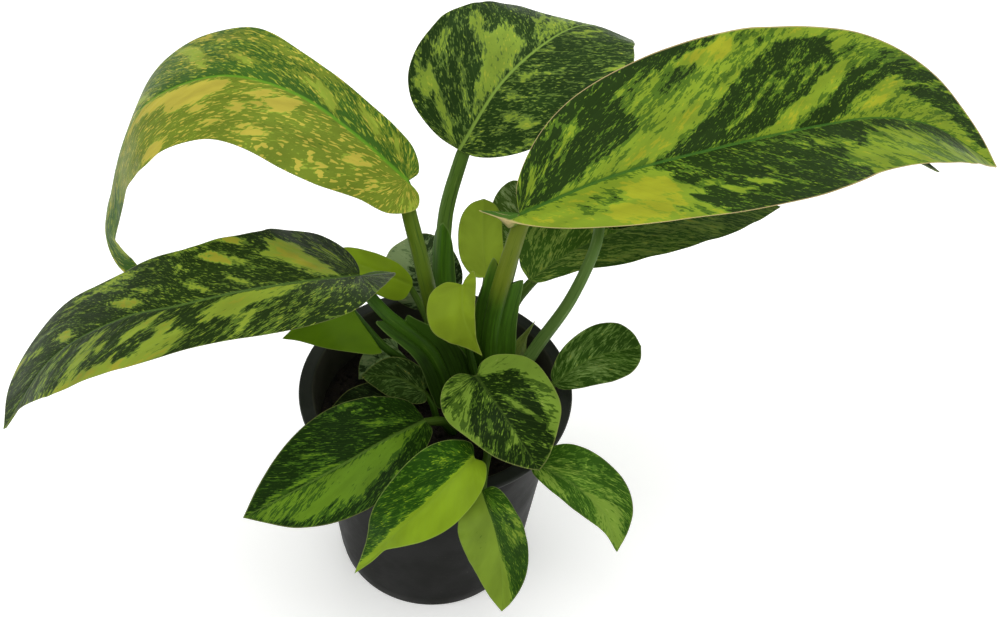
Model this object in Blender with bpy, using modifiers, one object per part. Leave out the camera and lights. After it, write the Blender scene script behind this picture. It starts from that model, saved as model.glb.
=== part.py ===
"""Potted variegated congo philodendron in a 14 cm black nursery pot.

Every leaf is one piece: its stalk stands in a plain hole in the soil and runs up into the rib of a
thin arched blade. The blades are drawn flat, as a margin measured from the rib, and are then bent
along the rib's own path. All sizes in the tables are millimetres; the scene is in metres.
The origin is the middle of the pot's base, +Z is up, and -Y is the side the plant is seen from.
"""
import math
from dataclasses import dataclass

import bmesh
import bpy
from mathutils import Vector

MM = 0.001
GAP = 0.3
WELD = 0.01 * MM

POT_HEIGHT = 127.0
RIM_RADIUS = 70.0
RIM_THICKNESS = 3.0
WALL_TOP_RADIUS = 64.0
BASE_RADIUS = 52.0
BASE_CHAMFER = 1.5
WALL = 1.6
FLOOR = 2.4
POT_SIDES = 48
DRAIN_HOLES = 8
DRAIN_RADIUS = 4.5
DRAIN_RING = 38.0
HOLE_SIDES = 12
CUTTER_SIDES = 16

SOIL_TOP = 104.0
SOIL_MOUND = 1.2
SOIL_SIDES = 32
HOLE_FLOOR = SOIL_TOP - 7.3
FOOT_LEVEL = HOLE_FLOOR + GAP
STRAIGHT_TO = 106.0

CROWN_AT = (20.0, 4.0)
CROWN_RADIUS = 7.0
CROWN_TOP = 126.0
CROWN_RINGS = 4
CROWN_SIDES = 20
CROWN_DOME = 3.0
CROWN_SOCKET = 8.0

BLADE = 0.8
VEIN_SLANT = 0.35
RIB_DEPTH = 0.9
STALK_DROP = 0.55
STALK_FOOT = 1.12
STALK_HEAD = 0.80
STALK_END = 0.42
STALK_REACH = 12.0
TUBE_SPAN = 3
RIB_SPAN = 24
STATIONS = 81
LEAST_STEP = 0.5
TIP_STEP = 0.8

SHEATH_ROWS = 8
SHEATH_COLUMNS = 2
SHEATH_STEP = 6


@dataclass(frozen=True)
class Sheath:
    """The winged foot of a big stalk: where it runs on the stalk, its two half widths, its bend."""

    start: float
    end: float
    left: float
    right: float
    facing: tuple
    lift: float
    curl: float
    forward: float = 0.0


@dataclass(frozen=True)
class Leaf:
    """One leaf: stalk points, rib points, and the flat margins as (along rib, out from rib)."""

    name: str
    colour: tuple
    radius: float
    stalk: tuple
    rib: tuple
    left: tuple
    right: tuple
    facing: tuple = (0.0, 0.0, 1.0)
    roll: tuple = (0.0, 0.0)
    lift_left: tuple = (8.0,)
    lift_right: tuple = (8.0,)
    curl_left: float = 0.0
    curl_right: float = 0.0
    rows: int = 12
    columns: int = 2
    sheath: Sheath = None


DARK = (0.030, 0.085, 0.022)
STREAKED = (0.085, 0.190, 0.035)
LIME = (0.210, 0.330, 0.035)
OLIVE = (0.190, 0.240, 0.040)
PALE = (0.130, 0.220, 0.090)

LEAVES = (
    Leaf(
        "leaf_arching_left", OLIVE, 4.3,
        stalk=((11, 13, 106), (7, 15, 122), (0, 17, 150), (-10, 19, 200), (-15.5, 25, 221)),
        rib=((-16, 31, 236), (-41, 39, 256), (-66, 50, 268), (-98, 64, 268), (-123, 71, 258),
             (-147, 74, 240), (-159, 71, 216), (-166, 63, 190), (-169, 56, 170), (-162, 50, 157)),
        left=((-8, 2), (-11, 8), (-2, 19), (14, 24), (38, 33), (90, 35), (130, 39), (160, 37), (195, 27), (225, 13)),
        right=((-2, 8), (6, 17), (20, 20), (54, 22), (78, 28), (108, 42), (140, 46), (175, 37), (210, 19)),
        roll=(-7, -7, -10), lift_left=(-14, -14, -12, -25), lift_right=(2, 0, 0, 12),
        curl_left=-6, curl_right=-6, rows=18, columns=3,
    ),
    Leaf(
        "leaf_low_left", DARK, 4.0,
        stalk=((8, 1, 106), (5, 3, 122), (-4, 5, 148), (-26, 0, 179)),
        rib=((-38, 8, 196), (-62, -14, 212), (-89, -26, 216), (-116, -30, 210), (-143, -25, 196),
             (-182, -24, 165), (-204, -45, 138)),
        left=((-18, 4), (-4, 11), (10, 17), (40, 34), (66, 35), (110, 32), (140, 32), (174, 27), (202, 12)),
        right=((-2, 12), (0, 24), (14, 38), (44, 39), (99, 35), (145, 32), (178, 34), (202, 25)),
        roll=(5, 0, 0), lift_left=(10, 0, 0), lift_right=(12,), curl_left=-10, curl_right=-10,
        rows=18, columns=3,
        sheath=Sheath(0.14, 0.64, 10, 13, (0.2, -0.6, 1.0), 18, 14),
    ),
    Leaf(
        "leaf_top", STREAKED, 4.4,
        stalk=((20, 17, 106), (15, 19, 122), (3, 46, 150), (2, 66, 185)),
        rib=((7.5, 72, 223), (27, 91.5, 250), (48, 110, 262), (67.5, 130, 261), (85, 144, 250), (97, 145, 236)),
        left=((2, 14), (5.5, 30.5), (17.5, 43.5), (35, 50), (56.5, 49), (82, 39), (109, 24), (131, 8.5)),
        right=((2, 11), (11, 29.5), (28.5, 47), (50, 55.5), (72, 53.5), (98, 41.5), (123, 17.5)),
        lift_left=(8, 8, -10, -30), rows=14, columns=3,
        sheath=Sheath(0.30, 0.72, 7, 6, (-0.1, -1.0, 0.2), -5, -50, 2.5),
    ),
    Leaf(
        "leaf_great_right", STREAKED, 4.8,
        stalk=((29, 13, 106), (28, 14, 120), (27, 11, 165), (33, 3, 226)),
        rib=((35, 5, 240), (77, 20, 252), (124, 35, 258), (177, 63, 252), (219, 87, 242),
             (256, 100, 228), (296, 98, 205)),
        left=((5, 14), (28, 35), (60, 50), (106, 58), (150, 60), (200, 57), (240, 50), (262, 37), (284, 15)),
        right=((-3, 6), (12, 31), (36, 50), (64, 57), (94, 58), (154, 48), (189, 46), (224, 42), (262, 24)),
        roll=(-5, -5, 0), lift_left=(28, 30, 25), lift_right=(15, 2, 0), curl_left=-5, curl_right=5,
        rows=20, columns=3,
        sheath=Sheath(0.12, 0.74, 10, 10, (-0.2, -1.0, 0.3), -8, -20),
    ),
    Leaf(
        "leaf_under_right", DARK, 3.2,
        stalk=((34, 24, 106), (35, 26, 122), (39, 37, 150)),
        rib=((46, 42, 164), (70, 55, 175), (115, 73, 182), (186, 98, 172)),
        left=((1, 10), (12, 24), (36, 33), (80, 33), (120, 20)),
        right=((3, 6), (13, 11), (28, 17), (45, 22), (76, 26), (108, 21), (132, 12)),
        rows=12, columns=2,
    ),
    Leaf(
        "leaf_rear_right", DARK, 4.2,
        stalk=((33, -1, 106), (37, 4, 118), (50, 15, 140), (66, 22, 170), (76, 30, 200)),
        rib=((78, 44, 208), (119, 72, 222), (175, 100, 222), (229, 115, 210), (273, 111, 190)),
        left=((-2, 12), (20, 26), (80, 34), (140, 30), (190, 14)),
        right=((-2, 12), (20, 22), (80, 26), (140, 22), (190, 10)),
        lift_left=(5,), lift_right=(5,), rows=12,
    ),
    Leaf(
        "leaf_small_rear", DARK, 2.3,
        stalk=((27, 33, 106), (30, 42, 126), (37, 58, 145)),
        rib=((42, 74, 158), (42, 86, 169), (46, 108, 174)),
        left=((-2, 10), (8, 15), (24, 15), (38, 8)), right=((-2, 9), (8, 12), (24, 12), (38, 6)),
        facing=(0, -1, 1),
    ),
    Leaf(
        "leaf_lime_rear", LIME, 2.2,
        stalk=((20, 30, 106), (22, 42, 128)),
        rib=((25, 57, 150), (22, 67, 168), (22, 84, 182)),
        left=((0, 7), (10, 12), (28, 12), (39, 6)), right=((0, 7), (10, 11), (28, 11), (39, 5)),
        facing=(0, -1, 0.5), lift_left=(5,), lift_right=(5,),
    ),
    Leaf(
        "leaf_round_rear", PALE, 2.2,
        stalk=((12, 27, 106), (7, 40, 116)),
        rib=((0, 59, 130), (-9, 65, 148), (-17, 81, 156)),
        left=((-1, 11), (10, 20), (26, 21), (38, 13)), right=((-1, 10), (10, 18), (26, 18), (38, 9)),
        facing=(0, -1, 0.6), lift_left=(5,), lift_right=(5,),
    ),
    Leaf(
        "leaf_lime_left_rear", LIME, 2.2,
        stalk=((2, 22, 106), (-4, 36, 132)),
        rib=((-14, 49, 150), (-31, 48, 160), (-59, 67, 155)),
        left=((4, 9), (12, 13), (30, 11), (48, 4)), right=((2, 3), (8, 6), (25, 10), (42, 8)),
        facing=(0, -0.4, 1), lift_left=(5,), lift_right=(5,),
    ),
    Leaf(
        "leaf_lime_left", LIME, 2.2,
        stalk=((-3, 11, 106), (-9, 13.5, 121), (-19, 14, 131), (-28, 17, 137), (-37, 24, 143)),
        rib=((-45, 33, 150), (-60, 17, 156), (-78, 8, 150)),
        left=((6.5, 13.5), (9, 26.5), (9.5, 32.5), (18.5, 28), (30, 14), (38, 5)), right=((0, 5), (10, 7), (26, 5)),
        facing=(0, -0.4, 1), lift_left=(5,), lift_right=(5,),
    ),
    Leaf(
        "leaf_heart_lime", LIME, 1.9,
        stalk=((20, 4, 130), (16, 5, 148), (12, 7, 172)),
        rib=((11, 10, 190), (12, -6, 184), (22, -12, 163)),
        left=((-5, 6), (9, 8), (30, 4)), right=((-1, 8), (4, 14), (14, 17), (31, 6)),
        facing=(0, -1, 0.6), lift_left=(5,), lift_right=(5,),
    ),
    Leaf(
        "leaf_heart_front", DARK, 2.5,
        stalk=((23, -12, 106), (20, -17, 136)),
        rib=((19, -22, 160), (32, -48, 162), (49, -69, 148)),
        left=((-4, 5), (-3, 12), (6, 21), (20, 26), (34, 25), (52, 13)),
        right=((-6, 6), (-4, 16), (6, 25), (22, 28), (38, 24), (54, 9)),
        facing=(0, -1, 1),
    ),
    Leaf(
        "leaf_small_right", DARK, 2.2,
        stalk=((36, -12, 106), (45, -11, 124)),
        rib=((59, -6, 138), (78, 1, 150), (104, 12, 148)),
        left=((1, 5), (8, 12), (18, 16), (30, 17), (44, 12)), right=((1, 4), (10, 10), (25, 14), (42, 11)),
        facing=(0, -0.6, 1), lift_left=(5,), lift_right=(5,),
    ),
    Leaf(
        "leaf_front_left", STREAKED, 2.6,
        stalk=((9, -13, 106), (3, -18, 120)),
        rib=((-5, -25, 129), (-24, -43, 135), (-44, -59, 135), (-67, -69, 126), (-90, -74, 112)),
        left=((0, 6), (8, 12), (30, 21), (49, 25), (66, 23), (82, 17), (97, 7)),
        right=((1, 5), (4, 12), (18, 20), (40, 26), (58, 25), (76, 19), (94, 9)),
        facing=(0, -0.6, 1), rows=12,
    ),
    Leaf(
        "leaf_front_two_tone", LIME, 2.4,
        stalk=((15, -24, 106), (14, -40, 128)),
        rib=((19, -59, 143), (8, -73, 143), (-3, -83, 137), (-15, -88, 125), (-25, -88, 106), (-37, -87, 86)),
        left=((-2, 5), (3, 10), (14, 14), (30, 15), (46, 10), (64, 4)),
        right=((-4, 7), (4, 15), (18, 21), (34, 22), (50, 19), (64, 12), (80, 5)),
        facing=(0, -0.7, 0.9), rows=14,
    ),
    Leaf(
        "leaf_front_hanging", STREAKED, 2.2,
        stalk=((27, -22, 106), (26, -44, 127), (24, -60, 131)),
        rib=((23, -69, 131.5), (26, -76, 127), (30, -78, 114), (35, -83, 86), (36, -93, 64)),
        left=((0, 7), (7, 11), (20, 13), (38, 14), (56, 11), (68, 6)),
        right=((-2, 5), (5, 12), (18, 18), (34, 18), (48, 14), (63, 9)),
        facing=(0, -1, 0.4), lift_left=(5,), lift_right=(5,),
    ),
    Leaf(
        "leaf_front_right", STREAKED, 2.2,
        stalk=((34, -20, 106), (38, -32, 124), (43, -44, 131)),
        rib=((48, -52, 132), (61, -59, 130.5), (72, -61, 122), (85, -65, 108), (92, -74, 90)),
        left=((1, 5), (6, 12), (16, 16), (34, 18), (48, 16), (62, 7)), right=((1, 4), (16, 9), (42, 12), (60, 6)),
        facing=(0, -0.7, 0.8), lift_left=(5,), lift_right=(5,),
    ),
    Leaf(
        "leaf_inner_dark", DARK, 1.8,
        stalk=((1, -7, 106), (-2, -4, 117)),
        rib=((-6, -2, 124), (-21, 2, 130), (-39, 4, 128)),
        left=((-3, 4), (4, 9), (20, 10), (29, 5)), right=((0, 6), (8, 10), (20, 10), (29, 5)),
        facing=(0, -0.8, 0.8), lift_left=(5,), lift_right=(5,), rows=9,
    ),
    Leaf(
        "leaf_inner_pale", PALE, 1.6,
        stalk=((-14, 31, 106),),
        rib=((-21, 37, 113), (-33, 24, 117), (-41, 14, 114)),
        left=((-1, 5), (10, 9), (24, 6)), right=((-1, 5), (10, 9), (24, 6)),
        facing=(0, -0.8, 0.8), lift_left=(5,), lift_right=(5,), rows=9,
    ),
    Leaf(
        "leaf_inner_low", DARK, 1.6,
        stalk=((-7, -11, 106),),
        rib=((-13, -4, 114), (-31, -3, 117), (-54, -4, 112)),
        left=((-1, 5), (12, 10), (32, 7)), right=((-1, 5), (12, 10), (32, 7)),
        facing=(0, -0.6, 1), lift_left=(5,), lift_right=(5,), rows=9,
    ),
)

SPEAR_PATH = ((42, 19, 106), (43, 26, 130), (50, 27, 149))
SPEAR_RADIUS = 2.6


def unit(vector):
    """Returns the vector at length one."""
    return vector.normalized()


def smooth_path(points, per_span):
    """Returns points on one smooth curve that passes through all the given points."""
    knots = [Vector(point) for point in points]
    knots = [knots[0] * 2 - knots[1]] + knots + [knots[-1] * 2 - knots[-2]]
    path = []
    for index in range(1, len(knots) - 2):
        before, start, end, after = knots[index - 1:index + 3]
        first = (start - before).length ** 0.5
        middle = (end - start).length ** 0.5
        last = (after - end).length ** 0.5
        slope_in = (start - before) / first - (end - before) / (first + middle) + (end - start) / middle
        slope_out = (end - start) / middle - (after - start) / (middle + last) + (after - end) / last
        for step in range(per_span):
            t = step / per_span
            cubic = t * t * t
            square = t * t
            path.append(
                start * (2 * cubic - 3 * square + 1)
                + slope_in * middle * (cubic - 2 * square + t)
                + end * (3 * square - 2 * cubic)
                + slope_out * middle * (cubic - square)
            )
    path.append(knots[-2])
    return path


def evenly(path, count):
    """Returns the path as `count` points at even spacing, and its length."""
    lengths = [0.0]
    for start, end in zip(path, path[1:]):
        lengths.append(lengths[-1] + (end - start).length)
    total = lengths[-1]
    points = []
    span = 0
    for index in range(count):
        target = total * index / (count - 1)
        while span < len(path) - 2 and lengths[span + 1] < target:
            span += 1
        share = (target - lengths[span]) / (lengths[span + 1] - lengths[span])
        points.append(path[span].lerp(path[span + 1], min(max(share, 0.0), 1.0)))
    return points, total


def read_at(values, share):
    """Returns the value at a share from 0 to 1 of an evenly spaced list."""
    if len(values) == 1:
        return values[0]
    place = min(max(share, 0.0), 1.0) * (len(values) - 1)
    low = min(int(place), len(values) - 2)
    rest = place - low
    return values[low] * (1 - rest) + values[low + 1] * rest


class Rib:
    """The bent middle line of a blade, which carries the flat margin points into space."""

    def __init__(self, points, facing, roll, lifts, curls, widths):
        self.points, self.length = evenly(smooth_path(points, RIB_SPAN), STATIONS)
        self.along = []
        for index in range(STATIONS):
            low = max(index - 1, 0)
            high = min(index + 1, STATIONS - 1)
            self.along.append(unit(self.points[high] - self.points[low]))
        normal = Vector(facing)
        self.normal = []
        for along in self.along:
            normal = unit(normal - along * normal.dot(along))
            self.normal.append(normal)
        self.side = []
        for index in range(STATIONS):
            angle = math.radians(read_at(roll, index / (STATIONS - 1)))
            side = self.normal[index].cross(self.along[index])
            self.side.append(side * math.cos(angle) + self.normal[index] * math.sin(angle))
            self.normal[index] = self.normal[index] * math.cos(angle) - side * math.sin(angle)
        self.lifts = lifts
        self.curls = curls
        self.widths = widths

    def place(self, along, out, sign):
        """Returns the place of a flat point: along the rib, out from it, on side 1 or -1."""
        share = along / self.length
        base = read_at(self.points, share)
        direction = unit(read_at(self.along, share))
        side = unit(read_at(self.side, share))
        normal = unit(read_at(self.normal, share))
        base = base + direction * (min(along, 0.0) + max(along - self.length, 0.0))
        which = 0 if sign > 0 else 1
        lift = math.radians(read_at(self.lifts[which], share))
        bend = math.radians(self.curls[which]) / self.widths[which] or 1e-6
        sideways = (math.sin(lift + bend * out) - math.sin(lift)) / bend
        upward = (math.cos(lift) - math.cos(lift + bend * out)) / bend
        return base + side * (sign * sideways) + normal * upward


def margin(points, length, rows):
    """Returns a flat margin from the joint to the tip as rows + 1 even points."""
    flat = [(0.0, 0.0, 0.0)] + [(along, out, 0.0) for along, out in points] + [(length, 0.0, 0.0)]
    even, _ = evenly(smooth_path(flat, 12), rows + 1)
    return even


def blade_object(name, rib, margins, rows, columns, rib_depth):
    """Returns a closed thin blade: an open sheet bent along the rib, thickened downwards."""
    sheet = bmesh.new()
    feet = [0.0]
    for row in range(1, rows):
        reach = max(side[row].x - VEIN_SLANT * side[row].y for side in margins)
        feet.append(min(max(reach, feet[-1] + LEAST_STEP), rib.length - TIP_STEP * (rows - row)))
    spine = [sheet.verts.new(rib.place(foot, 0.0, 1) * MM) for foot in feet]
    tip = sheet.verts.new(rib.place(rib.length, 0.0, 1) * MM)
    for sign, edge in ((1, margins[0]), (-1, margins[1])):
        grid = []
        for row in range(1, rows):
            line = [spine[row]]
            for column in range(1, columns + 1):
                share = column / columns
                along = feet[row] * (1 - share) + edge[row].x * share
                line.append(sheet.verts.new(rib.place(along, edge[row].y * share, sign) * MM))
            grid.append(line)
        for inner, outer in zip(grid[0], grid[0][1:]):
            add_face(sheet, (spine[0], inner, outer), sign)
        for lower, upper in zip(grid, grid[1:]):
            for column in range(columns):
                add_face(sheet, (lower[column], upper[column], upper[column + 1]), sign)
                add_face(sheet, (lower[column], upper[column + 1], lower[column + 1]), sign)
        for inner, outer in zip(grid[-1], grid[-1][1:]):
            add_face(sheet, (inner, tip, outer), sign)
    mesh = bpy.data.meshes.new(name)
    sheet.to_mesh(mesh)
    sheet.free()
    blade = bpy.data.objects.new(name, mesh)
    bpy.context.scene.collection.objects.link(blade)
    thick = blade.vertex_groups.new(name="thickness")
    deepest = max(rib_depth, BLADE)
    thick.add(range(len(mesh.vertices)), BLADE / deepest, "REPLACE")
    for index, foot in enumerate(feet):
        depth = rib_depth + (BLADE - rib_depth) * (foot / rib.length) ** 0.7
        thick.add([index], max(depth, BLADE) / deepest, "REPLACE")
    solid = blade.modifiers.new("thickness", "SOLIDIFY")
    solid.thickness = deepest * MM
    solid.offset = -1.0
    solid.vertex_group = thick.name
    solid.thickness_vertex_group = 0.0
    return blade


def add_face(sheet, corners, sign):
    """Adds one face of a sheet, turned so that it faces the same way on both sides of the rib."""
    sheet.faces.new(corners if sign > 0 else tuple(reversed(corners)))


def tube_object(name, path, radii):
    """Returns a closed round stalk along a path, with its own radius at each point."""
    curve = bpy.data.curves.new(name, "CURVE")
    curve.dimensions = "3D"
    curve.bevel_depth = MM
    curve.bevel_resolution = 2
    curve.use_fill_caps = True
    line = curve.splines.new("POLY")
    line.points.add(len(path) - 1)
    for point, place, radius in zip(line.points, path, radii):
        point.co = (place.x * MM, place.y * MM, place.z * MM, 1.0)
        point.radius = radius
    guide = bpy.data.objects.new(name, curve)
    bpy.context.scene.collection.objects.link(guide)
    tube = baked(guide, name)
    weld = bmesh.new()
    weld.from_mesh(tube.data)
    bmesh.ops.remove_doubles(weld, verts=weld.verts, dist=WELD)
    weld.to_mesh(tube.data)
    weld.free()
    return tube


def baked(source, name):
    """Returns the evaluated source as a plain mesh object of the given name, and removes the source."""
    bpy.context.view_layer.update()
    view = source.evaluated_get(bpy.context.evaluated_depsgraph_get())
    mesh = bpy.data.meshes.new_from_object(view)
    place = source.matrix_world.copy()
    bpy.data.objects.remove(source)
    result = bpy.data.objects.new(name, mesh)
    result.matrix_world = place
    bpy.context.scene.collection.objects.link(result)
    return result


def combined(base, others, operation):
    """Returns the base joined with, or cut by, each of the other solids, which are removed."""
    name = base.name
    for other in others:
        step = base.modifiers.new("join", "BOOLEAN")
        step.operation = operation
        step.solver = "EXACT"
        step.object = other
    base.name = name + "_draft"
    result = baked(base, name)
    for other in others:
        bpy.data.objects.remove(other)
    facets = bmesh.new()
    facets.from_mesh(result.data)
    bmesh.ops.triangulate(facets, faces=facets.faces, quad_method="BEAUTY", ngon_method="BEAUTY")
    facets.to_mesh(result.data)
    facets.free()
    return result


def stalk_path(leaf, rib):
    """Returns the stalk's points, from its foot in the soil to its end under the rib, and its radii."""
    base = rib.points[0] - rib.normal[0] * (leaf.radius * STALK_DROP)
    reach = min(STALK_REACH, rib.length * 0.15)
    sink = leaf.radius * STALK_END + 0.1
    inner = rib.place(reach, 0.0, 1) - read_at(rib.normal, reach / rib.length) * sink
    path = smooth_path(tuple(leaf.stalk) + (base, inner), TUBE_SPAN)
    foot = path[0].copy()
    if leaf.stalk[0][2] <= STRAIGHT_TO:
        foot.z = FOOT_LEVEL
    else:
        foot = Vector(CROWN_AT + (CROWN_TOP - CROWN_SOCKET + GAP,))
    path = [foot] + path
    last = len(path) - 1
    swells = [STALK_FOOT + (STALK_HEAD - STALK_FOOT) * index / last for index in range(len(path))]
    for step in range(TUBE_SPAN):
        swells[-1 - step] = STALK_END + (STALK_HEAD - STALK_END) * step / TUBE_SPAN
    swells[0] = 1.0
    swells[1] = 1.0
    return path, [leaf.radius * swell for swell in swells]


def sheath_object(leaf, path):
    """Returns the thin wings that run along the lower part of a stalk."""
    sheath = leaf.sheath
    even, _ = evenly(path, STATIONS)
    first = round(sheath.start * (STATIONS - 1))
    last = round(sheath.end * (STATIONS - 1))
    towards = unit(Vector(sheath.facing)) * sheath.forward
    spine = tuple(point + towards for point in even[first:last + 1:SHEATH_STEP])
    lifts = ((sheath.lift,), (sheath.lift,))
    curls = (sheath.curl, sheath.curl)
    rib = Rib(spine, sheath.facing, (0.0,), lifts, curls, (sheath.left, sheath.right))
    margins = []
    for width in (sheath.left, sheath.right):
        outline = ((rib.length * 0.12, width * 0.45), (rib.length * 0.35, width * 0.85),
                   (rib.length * 0.70, width), (rib.length * 0.93, width * 0.62))
        margins.append(margin(outline, rib.length, SHEATH_ROWS))
    return blade_object(leaf.name + "_wings", rib, margins, SHEATH_ROWS, SHEATH_COLUMNS, BLADE)


def leaf_object(leaf):
    """Returns one whole leaf as a single closed solid: stalk, winged foot and blade."""
    widths = (max(out for _, out in leaf.left), max(out for _, out in leaf.right))
    rib = Rib(leaf.rib, leaf.facing, leaf.roll, (leaf.lift_left, leaf.lift_right),
              (leaf.curl_left, leaf.curl_right), widths)
    margins = (margin(leaf.left, rib.length, leaf.rows), margin(leaf.right, rib.length, leaf.rows))
    blade = blade_object(leaf.name + "_blade", rib, margins, leaf.rows, leaf.columns, leaf.radius * RIB_DEPTH)
    path, radii = stalk_path(leaf, rib)
    stalk = tube_object(leaf.name, path, radii)
    pieces = [blade]
    if leaf.sheath:
        pieces.append(sheath_object(leaf, path))
    return combined(stalk, pieces, "UNION")


def turned_object(name, profile, sides, at=(0.0, 0.0)):
    """Returns a solid turned about an upright axis from a profile that runs top to bottom at +X."""
    outline = bmesh.new()
    points = [outline.verts.new((radius * MM, 0.0, height * MM)) for radius, height in profile]
    for start, end in zip(points, points[1:]):
        outline.edges.new((start, end))
    mesh = bpy.data.meshes.new(name)
    outline.to_mesh(mesh)
    outline.free()
    solid = bpy.data.objects.new(name, mesh)
    solid.location = (at[0] * MM, at[1] * MM, 0.0)
    bpy.context.scene.collection.objects.link(solid)
    screw = solid.modifiers.new("turn", "SCREW")
    screw.steps = sides
    screw.render_steps = sides
    screw.use_merge_vertices = True
    screw.merge_threshold = WELD
    return solid


def cutter(name, radius, low, high, at, sides=CUTTER_SIDES):
    """Returns an upright round cutter between two heights."""
    bpy.ops.mesh.primitive_cylinder_add(
        vertices=sides, radius=radius * MM, depth=(high - low) * MM,
        location=(at[0] * MM, at[1] * MM, (low + high) / 2 * MM),
    )
    tool = bpy.context.object
    tool.name = name
    return tool


def wall_radius(height):
    """Returns the pot wall's outer radius at a height."""
    return BASE_RADIUS + (WALL_TOP_RADIUS - BASE_RADIUS) * height / POT_HEIGHT


def pot_object():
    """Returns the pot: a tapered wall, a flat turned-out rim and a floor with drain holes."""
    lip_under = POT_HEIGHT - RIM_THICKNESS
    inner_top = WALL_TOP_RADIUS - WALL
    inner_floor = wall_radius(FLOOR) - WALL
    profile = (
        (0.0, FLOOR), (inner_floor - 2.0, FLOOR), (inner_floor, FLOOR + 2.0),
        (inner_top, POT_HEIGHT - 0.8), (inner_top + 0.8, POT_HEIGHT),
        (RIM_RADIUS - 1.0, POT_HEIGHT), (RIM_RADIUS, POT_HEIGHT - 1.0), (RIM_RADIUS, lip_under + 0.4),
        (RIM_RADIUS - 0.6, lip_under), (wall_radius(lip_under) + 0.8, lip_under),
        (wall_radius(lip_under - 1.2), lip_under - 1.2),
        (wall_radius(BASE_CHAMFER), BASE_CHAMFER), (BASE_RADIUS - BASE_CHAMFER, 0.0), (0.0, 0.0),
    )
    pot = turned_object("pot", profile, POT_SIDES)
    drains = []
    for index in range(DRAIN_HOLES):
        angle = math.tau * (index + 0.5) / DRAIN_HOLES
        at = (DRAIN_RING * math.cos(angle), DRAIN_RING * math.sin(angle))
        drains.append(cutter("drain_%d" % index, DRAIN_RADIUS, -3.0, FLOOR + 3.0, at, HOLE_SIDES))
    return combined(pot, drains, "DIFFERENCE")


def soil_object(feet):
    """Returns the soil that fills the pot, with one plain hole for each stalk and the crown."""
    low = FLOOR + GAP
    bottom = wall_radius(low) - WALL - GAP
    top = wall_radius(SOIL_TOP) - WALL - GAP
    profile = (
        (0.0, SOIL_TOP + SOIL_MOUND), (top * 0.45, SOIL_TOP + SOIL_MOUND * 0.8),
        (top * 0.8, SOIL_TOP), (top, SOIL_TOP - 1.0),
        (bottom, low + 2.2), (bottom - 2.4, low), (0.0, low),
    )
    soil = turned_object("soil", profile, SOIL_SIDES)
    holes = []
    for index, (at, radius) in enumerate(feet):
        holes.append(cutter("hole_%d" % index, radius + GAP + 0.1, HOLE_FLOOR, SOIL_TOP + 6.0, at, HOLE_SIDES))
    return combined(soil, holes, "DIFFERENCE")


def crown_object():
    """Returns the short ringed stem in the middle, with a socket for the youngest leaf."""
    profile = [(0.0, CROWN_TOP), (CROWN_RADIUS * 0.55, CROWN_TOP - 0.6), (CROWN_RADIUS * 0.85, CROWN_TOP - 2.5)]
    step = (CROWN_TOP - CROWN_DOME - STRAIGHT_TO) / CROWN_RINGS
    for ring in range(CROWN_RINGS):
        top = CROWN_TOP - CROWN_DOME - ring * step
        profile.append((CROWN_RADIUS * 0.9, top - 0.5))
        profile.append((CROWN_RADIUS, top - 1.4))
        profile.append((CROWN_RADIUS * 0.92, top - 2.6))
    profile.append((CROWN_RADIUS * 0.9, STRAIGHT_TO))
    profile.append((CROWN_RADIUS * 0.9, FOOT_LEVEL))
    profile.append((0.0, FOOT_LEVEL))
    crown = turned_object("crown", profile, CROWN_SIDES, CROWN_AT)
    young = next(leaf for leaf in LEAVES if leaf.stalk[0][2] > STRAIGHT_TO)
    socket = cutter("socket", young.radius + GAP + 0.2, CROWN_TOP - CROWN_SOCKET, CROWN_TOP + 4.0, CROWN_AT)
    return combined(crown, [socket], "DIFFERENCE")


def spear_object():
    """Returns the rolled young leaf that has not opened yet."""
    path = smooth_path(SPEAR_PATH, 4)
    foot = path[0].copy()
    foot.z = FOOT_LEVEL
    path = [foot] + path
    last = len(path) - 1
    radii = [SPEAR_RADIUS * (1.0 - 0.85 * (index / last) ** 2) for index in range(len(path))]
    radii[1] = SPEAR_RADIUS
    return tube_object("spear_lime", path, radii)


def give_material(item, colour, roughness):
    """Gives a piece its own plain material."""
    material = bpy.data.materials.new(item.name)
    material.use_nodes = True
    shader = material.node_tree.nodes["Principled BSDF"]
    shader.inputs["Base Color"].default_value = (*colour, 1.0)
    shader.inputs["Roughness"].default_value = roughness
    shader.inputs["Metallic"].default_value = 0.0
    item.data.materials.clear()
    item.data.materials.append(material)
    item.data.shade_smooth()
    item.data.set_sharp_from_angle(angle=math.radians(40))


def main():
    """Builds the pot, the soil, the crown, the spear and every leaf, in one collection."""
    for item in list(bpy.data.objects):
        bpy.data.objects.remove(item)
    feet = [(CROWN_AT, CROWN_RADIUS * 0.9), (SPEAR_PATH[0][:2], SPEAR_RADIUS)]
    for leaf in LEAVES:
        if leaf.stalk[0][2] <= STRAIGHT_TO:
            feet.append((leaf.stalk[0][:2], leaf.radius))
    pieces = [(pot_object(), (0.012, 0.012, 0.014), 0.45)]
    pieces.append((soil_object(feet), (0.020, 0.014, 0.009), 0.95))
    pieces.append((crown_object(), (0.060, 0.110, 0.030), 0.60))
    pieces.append((spear_object(), LIME, 0.45))
    for leaf in LEAVES:
        pieces.append((leaf_object(leaf), leaf.colour, 0.38))
    plant = bpy.data.collections.new("potted_philodendron")
    bpy.context.scene.collection.children.link(plant)
    for item, colour, roughness in pieces:
        give_material(item, colour, roughness)
        for holder in list(item.users_collection):
            holder.objects.unlink(item)
        plant.objects.link(item)


main()
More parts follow.
